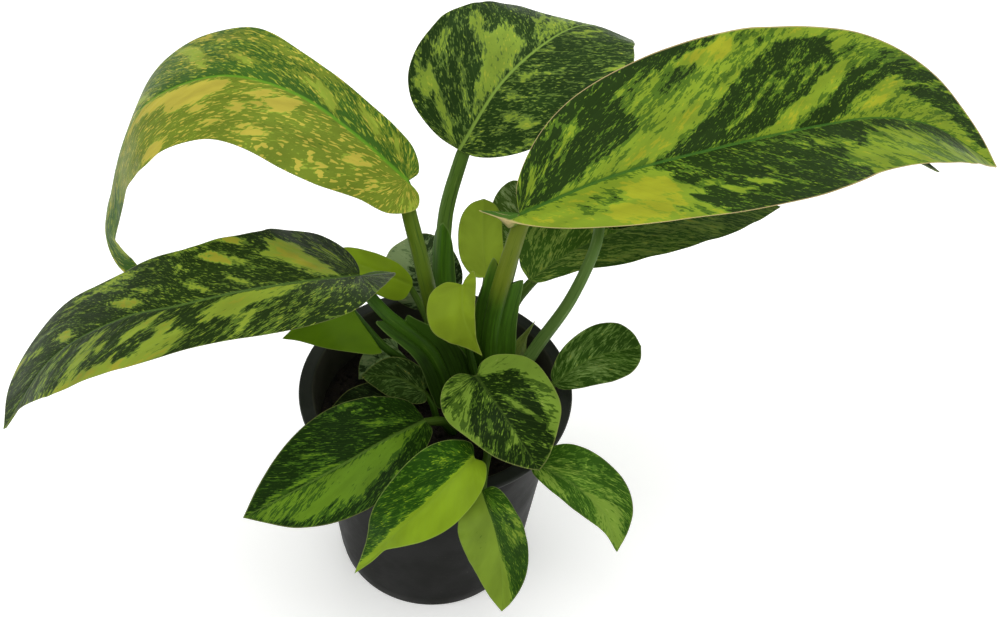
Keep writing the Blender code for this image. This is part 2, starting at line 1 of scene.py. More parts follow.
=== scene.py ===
"""Looks of a potted variegated congo philodendron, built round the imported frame.

The tables hold millimetres in the frame's own axes: the origin is the middle of the pot's base, +Z is
up, and -Y is the side the plant is seen from. A blade is drawn flat, in millimetres along its rib and
out from it (left of the rib is positive), and is then carried along the rib's path. The same flat
millimetres place the marks of the variegation.
"""
from __future__ import annotations

import logging
import math
from dataclasses import dataclass, field
from enum import Enum

import bpy
import numpy as np
from mathutils import Matrix, Vector, noise

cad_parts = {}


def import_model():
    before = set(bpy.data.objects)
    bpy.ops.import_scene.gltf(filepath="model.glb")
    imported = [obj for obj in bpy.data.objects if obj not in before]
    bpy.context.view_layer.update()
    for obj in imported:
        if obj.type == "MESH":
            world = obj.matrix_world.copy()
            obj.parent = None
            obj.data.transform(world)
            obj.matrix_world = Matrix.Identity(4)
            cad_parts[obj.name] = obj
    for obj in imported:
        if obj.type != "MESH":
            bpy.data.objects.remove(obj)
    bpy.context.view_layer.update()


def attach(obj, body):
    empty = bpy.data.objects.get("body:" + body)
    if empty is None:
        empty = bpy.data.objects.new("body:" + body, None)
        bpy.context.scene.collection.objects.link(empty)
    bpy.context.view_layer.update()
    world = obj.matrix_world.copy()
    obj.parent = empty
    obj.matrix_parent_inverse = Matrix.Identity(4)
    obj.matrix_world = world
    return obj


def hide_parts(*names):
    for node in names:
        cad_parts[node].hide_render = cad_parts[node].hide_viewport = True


MM = 0.001
BODY = "root"

Pair = tuple[float, float]
Triple = tuple[float, float, float]
Colour = tuple[float, float, float, float]
Face = tuple[int, ...]
Outline = tuple[Pair, ...]

# Heights at the stalks' feet: where they end in the soil, and up to where they rise straight.
FOOT_LEVEL = 97.0
STRAIGHT_TO = 106.0
SOIL_TOP = 104.0

# The crown's place in plan, its top, and where the youngest leaves leave it.
CROWN_AT = (20.0, 4.0)
CROWN_TOP = 126.0
YOUNG_FOOT = CROWN_TOP - 7.7

# The faint ribs of a tube, each with its height as a share of the radius, how many go round, and its turn
# from one seed to the next; and how far a tube's end stands out, as a share of the radius.
TUBE_RIBS = ((0.022, 7, 1.0), (0.014, 4, 2.3))
TUBE_END = 0.4

# The values between which most of a noise lies.
NOISE_CORE = (0.3, 0.7)

# The variegation's tone runs from 0, all dark, over mid green to lime and at last yellow.
DARK_TONE = 0.0
LIME_TONE = 0.64

log = logging.getLogger("philodendron")


class Surface(Enum):
    """The material slots of a leaf."""

    BLADE = 0
    STALK = 1


class Half(Enum):
    """The halves of a blade, named as seen from its joint with the rib ahead."""

    LEFT = 0
    RIGHT = 1

    @property
    def sign(self) -> float:
        """Returns the sign that flat places have on this half."""
        return 1.0 if self is Half.LEFT else -1.0


class Noise(Enum):
    """The grain sizes of the leaf variegation: millimetres across the veins, and along them."""

    BAND = (9.0, 30.0)
    STREAK = (2.9, 7.5)
    FLECK = (1.1, 2.9)


class Flap(Enum):
    """How a wing's margin runs, as shares of the wing's length and of its width."""

    CUSP = ((0.03, 0.74), (0.20, 1.0), (0.50, 0.94), (0.80, 0.80), (0.97, 0.72), (1.02, 0.62), (0.97, 0.30))
    LOW_CUSP = ((0.03, 0.74), (0.20, 1.0), (0.45, 0.97), (0.68, 0.88), (0.84, 0.80), (0.90, 0.70),
                (0.86, 0.36), (0.94, 0.10))
    ARCH = ((0.03, 0.70), (0.20, 0.95), (0.50, 1.0), (0.75, 0.84), (0.92, 0.46))
    TAPER = ((0.03, 0.74), (0.20, 1.0), (0.42, 0.84), (0.62, 0.62), (0.80, 0.46), (0.88, 0.40), (0.85, 0.20),
             (0.92, 0.06))


# Tables


@dataclass(frozen=True)
class Mark:
    """One patch of the variegation: a closed outline, or a spindle along a line where width isn't 0."""

    tone: float
    points: Outline
    width: float = 0.0

    def touches(self, half: Half) -> bool:
        """Returns whether the mark reaches a half; a spindle belongs to the half that it lies on."""
        outs = [out * half.sign for _, out in self.points]
        return bool(np.mean(outs) >= -0.5) or (self.width == 0.0 and max(outs) > 0.0)


@dataclass(frozen=True)
class LeafFinish:
    """The look of a blade: its greens as sRGB, how broken up they are, its margin and its gloss.

    band, streak and fleck say how strongly the three noises break the tone up, calm is what is left of
    them on lime, and fringe is how many millimetres a mark's edge wanders. specks is the tone that lime
    dots of the size speck add to a tone below specks_until, where their noise is above specks_from.
    """

    dark: Triple = (26, 44, 8)
    mid: Triple = (66, 94, 28)
    lime: Triple = (112, 136, 34)
    yellow: Triple = (156, 152, 46)
    edge: Triple = (140, 148, 84)
    rib: Triple = (100, 128, 52)
    under: Triple = (96, 116, 62)
    rib_line: float = 0.45
    edge_line: float = 0.4
    edge_width: float = 0.5
    band: float = 0.16
    streak: float = 0.34
    fleck: float = 0.20
    calm: float = 0.5
    fringe: float = 7.0
    yellow_from: float = 0.80
    specks: float = 0.38
    specks_until: float = 0.30
    specks_from: float = 0.61
    speck: Pair = (0.95, 3.4)
    roughness: float = 0.44


@dataclass(frozen=True)
class StalkFinish:
    """The look of a stalk: its greens as sRGB, how far up the foot's green reaches, and its gloss."""

    dark: Triple = (40, 62, 18)
    main: Triple = (64, 90, 24)
    light: Triple = (106, 128, 54)
    foot: Triple = (46, 74, 14)
    wing_edge: Triple = (112, 136, 70)
    reach: float = 30.0
    roughness: float = 0.46


@dataclass(frozen=True)
class Wings:
    """The winged foot of a big stalk: where it runs on the stalk, its half widths and its bend."""

    start: float
    end: float
    left: float
    right: float
    facing: Triple
    lift: float
    curl: float
    forward: tuple[float, ...] = (0.0,)
    left_flap: Flap = Flap.CUSP
    right_flap: Flap = Flap.LOW_CUSP


@dataclass(frozen=True)
class LeafShape:
    """The sizes of one leaf: its stalk, its rib, its flat margins and how the two halves are held.

    lift and curl are degrees, as Rib takes them. For each half, slant is how far a vein runs along the rib
    for each millimetre out, and base is the tone under the marks. wave is the height of the margin's waves.
    """

    node: str
    slot: str
    radius: float
    stalk: tuple[Triple, ...]
    rib: tuple[Triple, ...]
    left: Outline
    right: Outline
    facing: Triple = (0.0, 0.0, 1.0)
    roll: tuple[float, ...] = (0.0,)
    lift_left: tuple[float, ...] = (8.0,)
    lift_right: tuple[float, ...] = (8.0,)
    curl_left: float = 0.0
    curl_right: float = 0.0
    wings: Wings | None = None
    slant: Pair = (0.9, 0.9)
    wave: float = 0.5
    base: Pair = (DARK_TONE, DARK_TONE)
    marks: tuple[Mark, ...] = ()
    finish: LeafFinish = field(default_factory=LeafFinish)
    stalk_finish: StalkFinish = field(default_factory=StalkFinish)


OLIVE_STALK = StalkFinish(dark=(54, 80, 12), main=(76, 98, 16), light=(108, 118, 36))
BROWNED_STALK = StalkFinish(
    dark=(74, 92, 16), main=(94, 108, 26), light=(118, 126, 50), foot=(50, 82, 14), reach=108.0,
)
DEEP_STALK = StalkFinish(
    dark=(30, 54, 6), main=(48, 80, 12), light=(82, 108, 34), foot=(34, 58, 8), reach=50.0,
)
GREEN_STALK = StalkFinish(
    dark=(50, 74, 20), main=(76, 106, 34), light=(120, 140, 66), foot=(50, 84, 8), reach=104.0,
)
PALE_STALK = StalkFinish(
    dark=(62, 86, 34), main=(84, 112, 50), light=(122, 144, 82), foot=(56, 84, 24), reach=50.0,
)
PALE_GREY = LeafFinish(
    dark=(44, 60, 32), mid=(92, 112, 72), lime=(120, 138, 94), yellow=(150, 160, 114), roughness=0.5,
    rib_line=0.3,
)

ARCHING_LEFT = LeafShape(
    "leaf_arching_left", "leaf_olive", 4.3,
    stalk=((11, 13, 106), (7, 15, 122), (0, 17, 150), (-10, 19, 200), (-15.5, 25, 221)),
    rib=((-16, 31, 236), (-41, 39, 256), (-66, 50, 268), (-98, 64, 268), (-123, 71, 258), (-147, 74, 240),
         (-160, 71, 216), (-168, 63, 190), (-172, 57, 172), (-167, 50, 157), (-150, 42, 146)),
    left=((-8, 2), (-11, 8), (-2, 19), (14, 24), (34, 32), (52, 36), (90, 36), (130, 40), (148, 43),
          (168, 40), (190, 31), (212, 22), (228, 18.5), (243, 17.5), (257, 12)),
    right=((-2, 8), (6, 17), (20, 20), (54, 22), (78, 28), (108, 42), (140, 46), (175, 35), (210, 19),
           (245, 12)),
    roll=(-7, -7, -10), lift_left=(-14, -14, -14, -13, -16, -24, -70), lift_right=(2, 0, 0, 4, 6, 8, 6),
    curl_left=-6, curl_right=-6, slant=(2.2, 1.7), wave=0.25, base=(0.38, 0.2), stalk_finish=OLIVE_STALK,
    finish=LeafFinish(
        dark=(52, 84, 24), mid=(98, 114, 32), lime=(122, 140, 44), yellow=(162, 152, 58),
        edge=(146, 150, 84), rib=(84, 132, 30), rib_line=0.8, band=0.06, streak=0.1, fleck=0.13,
        yellow_from=0.66, calm=0.3, specks=0.42, specks_until=0.5, specks_from=0.58, speck=(2.7, 4.6),
    ),
    marks=(
        Mark(1.0, ((98, 3), (104, 9), (112, 13), (120, 16), (128, 17.5), (134, 16), (139, 12), (150, 9),
                   (160, 8), (180, 3), (150, 2.5), (120, 2.5))),
        Mark(1.0, ((61, 3), (61, 8), (66, 11.5), (73, 12.5), (75, 9), (71, 4), (66, 3))),
        Mark(0.9, ((74, 3.5), (80, 6), (86, 8)), 1.6),
        Mark(0.9, ((85, 16), (89, 17), (93, 18)), 1.8),
        Mark(1.1, ((77, 11), (82, 13)), 1.6),
        Mark(1.1, ((109, 17), (116, 20)), 2.6),
        Mark(1.1, ((97, 26), (106, 28)), 1.6),
        Mark(1.1, ((76, 25), (84, 27)), 1.4),
        Mark(1.1, ((68, 25), (76, 27)), 1.6),
        Mark(1.1, ((22, 7), (25, 9), (28, 13)), 2.4),
        Mark(1.1, ((36, 22), (39, 27)), 2.0),
        Mark(1.1, ((10, 12), (13, 17)), 2.2),
        Mark(1.1, ((130, 33), (134, 40), (144, 42), (151, 38), (146, 33), (138, 32))),
        Mark(0.62, ((-10, 4), (-8, 9), (-5, 14)), 2.0),
        Mark(0.28, ((186, 2), (206, 10), (226, 12)), 5.0),
        Mark(0.12, ((196, 26), (206, 8), (226, 2), (264, 1), (264, 16), (240, 24), (214, 28))),
        Mark(0.6, ((226, 18), (250, 16)), 3.0),
        Mark(0.12, ((0, -1), (40, -2), (80, -2), (120, -3), (150, -4)), 4.0),
        Mark(0.6, ((44, -3), (56, -9), (70, -13)), 3.4),
        Mark(0.6, ((8, -8), (18, -15)), 1.8),
        Mark(0.6, ((23, -8), (32, -13), (42, -17)), 2.4),
        Mark(0.6, ((94, -10), (101, -15), (108, -18)), 2.6),
        Mark(0.6, ((118, -8), (126, -18), (136, -32), (148, -42)), 4.2),
        Mark(1.0, ((113, -33), (124, -38)), 2.8),
        Mark(1.0, ((127, -41), (136, -44)), 2.4),
        Mark(0.3, ((50, -18), (80, -24), (110, -34), (130, -42)), 4.0),
        Mark(0.6, ((150, -2), (170, -20), (184, -34)), 3.0),
        Mark(0.8, ((160, -1), (180, -10), (200, -16)), 2.4),
    ),
)
LOW_LEFT = LeafShape(
    "leaf_low_left", "leaf_dark", 3.7,
    stalk=((8, 1, 106), (5, 3, 122), (-4, 5, 148), (-26, 0, 179)),
    rib=((-38, 8, 196), (-62, -14, 212), (-89, -26, 216), (-116, -30, 210), (-143, -25, 196),
         (-182, -24, 165), (-204, -45, 138)),
    left=((-6, -1.5), (-12.5, -2.5), (-18.5, -1.5), (-22.5, 1), (-20, 4.5), (-14, 8), (-2, 15), (8, 19.5),
          (18, 24), (40, 34), (60, 34), (76, 31), (92, 30.5), (112, 32.5), (140, 33), (157, 32),
          (174, 29.5), (184, 27), (190, 22.5), (196, 15), (201, 8), (208, 1.5)),
    right=((-4, 6), (-7, 16), (-6, 26), (-1, 35), (9, 39.5), (24, 41), (44, 39.5), (99, 35), (145, 31),
           (178, 34), (202, 25)),
    roll=(5, 0, 0), lift_left=(10, 0, 0), lift_right=(12,), curl_left=-10, curl_right=-10,
    wings=Wings(0.1, 0.735, 10, 16, (0.2, -0.6, 1.0), 8, 8, (2.8, 2.4, 1.4, 0.4), Flap.CUSP, Flap.TAPER),
    slant=(1.3, 1.8), wave=0.25, base=(0.06, 0.05), stalk_finish=DEEP_STALK,
    finish=LeafFinish(
        dark=(27, 43, 8), mid=(74, 96, 30), lime=(116, 134, 40), yellow=(132, 132, 38), streak=0.3,
        fleck=0.2, rib=(84, 112, 50), rib_line=0.5,
    ),
    marks=(
        Mark(0.7, ((12, -1), (22, -2), (30, -6), (38, -12), (46, -18), (53, -23), (44, -26), (42, -31),
                   (30, -32), (20, -30), (18, -24), (17, -16), (14, -8))),
        Mark(0.98, ((22, -7), (30, -16), (38, -25)), 3.6),
        Mark(0.36, ((3, -8), (5, -16), (9, -25)), 2.4),
        Mark(0.4, ((9, -33), (18, -37)), 2.6),
        Mark(0.4, ((60, -36), (85, -36), (112, -33)), 2.6),
        Mark(0.94, ((58, -33), (71, -37)), 2.4),
        Mark(0.96, ((66, -18), (76, -25), (85, -29)), 2.2),
        Mark(0.66, ((55, -15), (66, -21)), 2.2),
        Mark(0.64, ((58, -2), (63, -6), (69, -11)), 1.8),
        Mark(0.64, ((81, -4), (92, -12)), 1.8),
        Mark(0.64, ((93, -20), (106, -24)), 1.6),
        Mark(0.8, ((116, -5), (127, -9), (139, -12)), 2.0),
        Mark(0.66, ((112, -12), (126, -16)), 1.2),
        Mark(0.6, ((132, -20), (146, -24)), 1.4),
        Mark(0.82, ((158, -3), (165, -7), (173, -12)), 2.2),
        Mark(0.62, ((122, -28), (145, -27), (168, -28)), 2.4),
        Mark(0.6, ((180, -12), (190, -24)), 1.8),
        Mark(1.0, ((193, -26), (199, -32), (203, -26)), 3.2),
        Mark(0.66, ((34, 1.5), (44, 6), (52, 9), (60, 10), (66, 13), (66, 17), (74, 18), (80, 17), (83, 11),
                    (77, 5), (72, 1.5), (50, 1))),
        Mark(0.64, ((63, 13), (66, 21), (71, 28)), 2.4),
        Mark(0.66, ((87, 18), (92, 24), (104, 29), (114, 28), (107, 22), (102, 16), (99, 10), (94, 8),
                    (93, 14))),
        Mark(0.66, ((99, 1.5), (108, 5), (117, 10), (125, 14), (114, 16), (107, 12), (103, 7))),
        Mark(0.62, ((135, 3), (137, 10), (142, 20), (148, 26), (157, 23), (153, 15), (148, 8), (141, 3))),
        Mark(0.66, ((132, 14), (137, 19)), 1.8),
        Mark(0.76, ((90, 25), (104, 29), (112, 28), (120, 26), (130, 26), (136, 28), (150, 27), (162, 28),
                    (176, 28), (192, 21), (203, 11), (198, 22), (176, 34), (140, 38), (108, 36), (96, 31))),
        Mark(1.0, ((103, 31), (112, 31), (120, 30)), 2.0),
        Mark(0.16, ((8, 10), (30, 17), (45, 27), (60, 33), (60, 12), (40, 8), (20, 5))),
        Mark(0.52, ((160, 5), (174, 10), (186, 14)), 1.8),
        Mark(0.5, ((170, 13), (184, 19), (194, 20)), 1.6),
        Mark(0.45, ((176, 2), (190, 6), (200, 7)), 1.4),
    ),
)
TOP = LeafShape(
    "leaf_top", "leaf_streaked", 4.4,
    stalk=((20, 17, 106), (15, 19, 122), (3, 46, 150), (2, 66, 185)),
    rib=((7.5, 72, 223), (27, 91.5, 250), (48, 110, 262), (67.5, 130, 261), (85, 144, 250), (97, 145, 236)),
    left=((0, 13), (3.5, 27), (9, 38), (17, 45), (28, 49.5), (42, 50.5), (60, 49), (78, 47.5), (92, 43.5),
          (105, 34), (116, 22), (126, 11.5), (132, 6)),
    right=((2, 12), (12, 30.5), (29.5, 47), (50, 55.5), (72, 53.5), (83, 46), (100.5, 34), (115.5, 23),
           (128.5, 12), (134, 5.5)),
    lift_left=(8, 8, -10, -30),
    wings=Wings(0.28, 0.68, 10.5, 8.5, (-0.25, -1.0, 0.3), -18, -50, (5.4, 5.2, 4.6), Flap.ARCH, Flap.ARCH),
    slant=(0.7, 0.6), wave=0.35, base=(0.09, 0.09), stalk_finish=GREEN_STALK,
    finish=LeafFinish(
        dark=(30, 50, 14), mid=(74, 96, 38), lime=(112, 134, 44), yellow=(140, 150, 48), rib=(116, 142, 58),
        rib_line=0.9, streak=0.3, fleck=0.26,
    ),
    marks=(
        Mark(0.62, ((18.5, 1), (24, 5.5), (32.5, 10), (39, 14), (43.5, 19.5), (49, 23), (51, 32.5),
                    (51, 39), (59, 41.5), (61, 37), (56.5, 30.5), (58, 27.5), (63, 27.5), (66.5, 19.5),
                    (66.5, 11), (63, 4.5), (49, 1))),
        Mark(0.78, ((54.5, 23), (62, 26)), 2.4),
        Mark(0.56, ((32.5, 41.5), (35, 46), (40.5, 44.5), (42.5, 39), (39, 35), (37, 37))),
        Mark(0.6, ((14, 35), (16.5, 39), (24, 42.5), (28.5, 40.5), (26, 34), (22, 29.5), (19.5, 23),
                   (16.5, 28.5))),
        Mark(0.56, ((1, 3.5), (6.5, 10), (11, 16.5), (17.5, 25)), 2.6),
        Mark(0.46, ((17.5, 6.5), (24, 14), (30.5, 19.5)), 1.8),
        Mark(0.44, ((30.5, 17.5), (37, 26)), 1.8),
        Mark(0.5, ((67.5, 2), (78.5, 8.5), (93.5, 15.5), (111, 22), (122, 19.5), (126.5, 8.5), (109, 1),
                   (87, 1))),
        Mark(0.05, ((68.5, 12), (80.5, 24), (96, 34)), 2.6),
        Mark(0.6, ((70, 6.5), (85, 16.5), (100.5, 25)), 1.6),
        Mark(0.1, ((122, 15.5), (131, 6.5), (139.5, 1)), 3.5),
        Mark(0.6, ((24, -8.5), (29.5, -18.5), (31.5, -27.5)), 2.0),
        Mark(0.74, ((28.5, -25), (30.5, -30.5), (34, -36)), 2.0),
        Mark(0.52, ((32.5, -6.5), (37, -12), (40.5, -19.5)), 2.0),
        Mark(0.66, ((46, -7.5), (53.5, -12)), 2.2),
        Mark(0.46, ((65.5, -2), (71, -10)), 1.4),
        Mark(0.74, ((86, -5.5), (96, -8.5), (104.5, -8.5)), 1.6),
        Mark(0.6, ((87, -12), (93.5, -12)), 1.4),
        Mark(0.46, ((56.5, -16.5), (63, -24)), 1.6),
        Mark(0.76, ((72, -40.5), (77.5, -46)), 3.2),
        Mark(0.42, ((15.5, -30.5), (26, -39)), 2.6),
        Mark(0.56, ((2, -7.5), (6.5, -18.5), (11, -26)), 1.0),
    ),
)
GREAT_RIGHT = LeafShape(
    "leaf_great_right", "leaf_streaked", 4.8,
    stalk=((29, 13, 106), (28, 14, 120), (27, 11, 165), (34, 3, 226)),
    rib=((35, 5, 240), (77, 20, 252), (124, 35, 258), (177, 63, 252), (219, 87, 242), (256, 100, 228),
         (296, 98, 205)),
    left=((5, 14), (28, 35), (60, 50), (106, 58), (150, 60), (200, 56), (235, 50), (256, 38), (270, 25),
          (285, 12)),
    right=((-5, -4.5), (-10, -14.5), (-14.5, -20), (-11.5, -12), (-8, -3), (-2, 10), (9, 26.5), (22, 39),
           (38, 50), (64, 58), (94, 60), (125, 56.5), (155, 48), (175, 46.5), (195, 48), (220, 45),
           (240, 42), (258, 35), (274, 20)),
    roll=(-5, -5, 0), lift_left=(28, 30, 25), lift_right=(15, 2, 0), curl_left=-5, curl_right=5,
    wings=Wings(0.12, 0.735, 11.5, 14, (-0.2, -1.0, 0.3), -10, -24, (4.2, 3.8, 2.8, 1.4)), slant=(1.5, 0.5),
    wave=0.3, base=(0.55, 0.56), stalk_finish=BROWNED_STALK,
    finish=LeafFinish(
        dark=(28, 47, 8), mid=(70, 98, 24), lime=(114, 136, 34), yellow=(140, 146, 34),
        edge=(184, 164, 116), edge_line=0.8, edge_width=1.0, rib=(50, 88, 28), rib_line=0.9, band=0.34,
        streak=0.24, fleck=0.15, calm=0.5,
    ),
    marks=(
        Mark(0.0, ((1, 2), (4, 10), (10, 20), (20, 30), (40, 44), (60, 53), (80, 58), (100, 62), (127, 63),
                   (128, 56), (114, 52), (97, 50), (84, 46), (76, 42), (66, 37), (66, 31), (74, 35),
                   (79, 33), (77, 26), (68, 21), (58, 15), (48, 9), (38, 6), (24, 3), (10, 1.5))),
        Mark(0.62, ((6, 3), (13, 13), (18, 22)), 1.6),
        Mark(0.6, ((12, 4), (22, 17), (28, 27)), 1.5),
        Mark(0.5, ((22, 8), (34, 25), (46, 39)), 1.8),
        Mark(0.46, ((26, 23), (33, 33), (41, 39)), 3.2),
        Mark(0.55, ((36, 5), (46, 13)), 1.4),
        Mark(0.42, ((52, 30), (64, 40), (74, 46)), 1.5),
        Mark(0.84, ((88, 42), (100, 49), (118, 55), (140, 57), (143, 52), (128, 46), (112, 41), (98, 38))),
        Mark(0.76, ((48, 4), (70, 12), (94, 22), (112, 30), (100, 18), (76, 7), (56, 2))),
        Mark(0.78, ((76, 30), (90, 35), (100, 36)), 3.0),
        Mark(0.4, ((61, 31), (68, 38), (81, 43.5), (100, 46), (115, 44), (103, 39), (92, 30.5), (79, 26),
                   (68, 24))),
        Mark(0.4, ((142, 58), (154, 58), (168, 55), (161, 50), (148, 48), (139, 51))),
        Mark(0.4, ((196, 38), (210, 45), (230, 46), (244, 42), (248, 35), (235, 33), (213, 28), (195, 22),
                   (191, 27))),
        Mark(0.42, ((183, 8), (205, 13), (228, 14), (244, 12), (235, 6), (207, 4), (184, 2))),
        Mark(0.4, ((142, 53), (150, 59), (166, 60), (164, 53), (152, 50))),
        Mark(0.42, ((108, 33), (118, 38), (130, 43)), 2.0),
        Mark(0.42, ((98, 20), (110, 29), (124, 36)), 2.0),
        Mark(0.4, ((66, 22), (80, 27), (92, 30)), 1.8),
        Mark(0.44, ((120, 38), (136, 47), (150, 52)), 1.8),
        Mark(0.03, ((68, 0.5), (80, 6), (93, 12), (108, 20), (122, 29), (136, 37), (150, 44), (160, 48),
                    (176, 50), (192, 50), (197, 46), (195, 42), (199, 38), (196, 33), (188, 32), (181, 27),
                    (172, 20), (160, 16), (148, 11), (136, 6), (122, 3), (108, 0.5))),
        Mark(0.52, ((124, 14), (138, 23), (152, 31), (166, 37)), 1.3),
        Mark(0.5, ((140, 19), (156, 28), (172, 34)), 1.1),
        Mark(0.54, ((160, 20), (176, 30), (190, 36)), 1.3),
        Mark(0.5, ((108, 8), (126, 16)), 1.2),
        Mark(0.48, ((170, 36), (184, 42)), 1.4),
        Mark(0.66, ((128, 2), (148, 8), (170, 17), (190, 28), (202, 36)), 3.0),
        Mark(0.0, ((144, 0.5), (158, 4), (170, 9), (184, 17), (196, 25), (208, 31), (224, 36), (242, 38),
                   (254, 37), (266, 30), (262, 26), (250, 29), (238, 29), (224, 25), (212, 20), (202, 16),
                   (192, 9), (184, 3), (177, 0.5))),
        Mark(0.86, ((200, 8), (212, 12), (224, 15)), 2.6),
        Mark(0.8, ((192, 5), (204, 8)), 2.0),
        Mark(0.02, ((232, 20), (240, 26), (252, 27), (264, 24), (276, 19), (286, 10), (283, 6), (274, 9),
                    (264, 12), (254, 15), (243, 15))),
        Mark(0.5, ((256, 10), (270, 6), (282, 3)), 3.0),
        Mark(0.72, ((0, -3), (66, -7), (73, -27), (70, -37), (72, -48), (76, -60), (40, -60), (8, -36),
                    (-6, -10))),
        Mark(0.88, ((44, -12), (60, -10), (67, -14), (68, -36), (56, -50), (40, -50), (30, -38), (38, -28),
                    (44, -22))),
        Mark(0.4, ((23, -14), (30, -12), (38, -7), (44, -11), (42, -20), (37, -28), (30, -30), (23, -24))),
        Mark(0.46, ((58, -52), (62, -44), (72, -45), (74, -54))),
        Mark(0.06, ((64, -0.5), (68, -8), (70, -19), (74, -27), (77, -32), (71, -38), (73, -48), (79, -62),
                    (104, -63), (128, -61), (150, -52), (158, -45), (151, -37), (148, -29), (156, -24),
                    (166, -21), (177, -16), (182, -11), (200, -10), (226, -11), (246, -9), (262, -5),
                    (278, -1), (230, -0.5), (180, -0.5), (120, -0.5))),
        Mark(0.56, ((78, -27), (84, -33)), 3.0),
        Mark(0.6, ((86, -35), (91, -42)), 3.0),
        Mark(0.62, ((98, -33), (104, -43)), 2.8),
        Mark(0.5, ((106, -22), (109, -28)), 1.8),
        Mark(0.5, ((91, -13), (95, -17)), 1.2),
        Mark(0.5, ((139, -12), (142, -17)), 1.4),
        Mark(0.5, ((150, -12), (154, -19)), 1.6),
        Mark(0.6, ((159, -17), (168, -18)), 2.0),
        Mark(0.45, ((120, -20), (124, -27)), 1.2),
        Mark(0.4, ((184, -16), (200, -18), (216, -17)), 1.6),
        Mark(0.14, ((222, -12), (230, -18), (244, -27), (256, -27), (266, -15), (262, -6), (240, -8))),
    ),
)
UNDER_RIGHT = LeafShape(
    "leaf_under_right", "leaf_dark", 3.2,
    stalk=((34, 24, 106), (35, 26, 122), (39, 37, 150)),
    rib=((46, 42, 164), (70, 55, 175), (115, 73, 182), (186, 98, 172)),
    left=((1, 10), (12, 24), (36, 33), (80, 33), (120, 20)),
    right=((3, 6), (13, 11), (28, 18), (45, 25), (76, 28), (108, 22), (132, 12)),
    slant=(1.2, 1.4), wave=0.3, base=(0.17, 0.19),
    # painted light: these greens are lighter than a dark leaf's own, to lift the shade that the great right
    # leaf casts here
    finish=LeafFinish(
        dark=(60, 92, 26), mid=(110, 136, 56), lime=(138, 160, 72), rib_line=0.2, band=0.3, streak=0.42,
    ),
    marks=(
        Mark(0.34, ((38, -14), (52, -20), (66, -25)), 3.4),
        Mark(0.42, ((84, -6), (98, -12), (112, -18)), 4.5),
        Mark(0.5, ((95, -8), (106, -14)), 2.0),
        Mark(0.4, ((92, -20), (102, -20)), 2.4),
        Mark(0.3, ((124, -6), (136, -8)), 2.4),
    ),
)
REAR_RIGHT = LeafShape(
    "leaf_rear_right", "leaf_dark", 3.4,
    stalk=((33, -1, 106), (37, 4, 118), (50, 15, 140), (66, 22, 170), (76, 30, 200)),
    rib=((78, 44, 208), (119, 72, 222), (175, 100, 222), (229, 115, 210), (273, 111, 190)),
    left=((-2, 12), (20, 26), (80, 34), (140, 30), (190, 14)),
    right=((-2, 12), (20, 22), (80, 26), (140, 22), (190, 10)),
    lift_left=(5,), lift_right=(5,), slant=(1.3, 1.3), base=(0.05, 0.05), stalk_finish=PALE_STALK,
    marks=(
        Mark(0.6, ((40, 4), (62, 16), (84, 26)), 4.0),
        Mark(0.6, ((96, 3), (120, 14), (140, 22)), 3.0),
        Mark(0.55, ((60, -3), (80, -12), (98, -19)), 3.5),
        Mark(0.6, ((150, -2), (168, -10)), 3.0),
    ),
)
SMALL_REAR = LeafShape(
    "leaf_small_rear", "leaf_dark", 2.3,
    stalk=((27, 33, 106), (30, 42, 126), (37, 58, 145)),
    rib=((42, 74, 158), (42, 86, 169), (46, 108, 174)),
    left=((-2, 10), (8, 15), (24, 15), (38, 8)),
    right=((-2, 9), (8, 12), (24, 12), (38, 6)),
    facing=(0, -1, 1), slant=(0.6, 0.6), base=(0.05, 0.05),
    finish=LeafFinish(dark=(78, 104, 42), mid=(126, 148, 88), lime=(154, 174, 120)),
    marks=(
        Mark(0.4, ((22, 4), (28, 11), (34, 15)), 3.4),
        Mark(0.42, ((28, 3), (38, 8)), 2.4),
    ),
)
LIME_REAR = LeafShape(
    "leaf_lime_rear", "leaf_lime", 2.2,
    stalk=((20, 30, 106), (22, 42, 128)),
    rib=((25, 57, 150), (22, 67, 168), (22, 84, 182)),
    left=((1, 6), (10, 12), (24, 13), (34, 11), (40, 6.5)),
    right=((2, 5), (10, 10), (24, 10.5), (34, 9.5), (40, 6)),
    facing=(0, -1, 0.5), lift_left=(5,), lift_right=(5,), base=(LIME_TONE, LIME_TONE),
    finish=LeafFinish(
        mid=(132, 154, 40), lime=(148, 172, 52), yellow=(158, 180, 64), rib=(150, 174, 62), rib_line=0.3,
        band=0.08, streak=0.03, fleck=0.02,
    ),
)
ROUND_REAR = LeafShape(
    "leaf_round_rear", "leaf_pale", 2.2,
    stalk=((12, 27, 106), (7, 40, 116)),
    rib=((0, 59, 130), (-9, 65, 148), (-17, 81, 156)),
    left=((-1, 11), (10, 20), (26, 21), (38, 13)),
    right=((-1, 10), (10, 18), (26, 18), (38, 9)),
    facing=(0, -1, 0.6), lift_left=(5,), lift_right=(5,), slant=(0.6, 0.6), wave=0.15, base=(0.62, 0.12),
    finish=PALE_GREY,
    marks=(
        Mark(0.05, ((2, 1), (10, 5), (20, 6), (30, 4)), 3.4),
        Mark(0.1, ((-2, 8), (2, 14), (8, 19)), 2.4),
        Mark(0.36, ((16, -6), (28, -8)), 3.0),
    ),
)
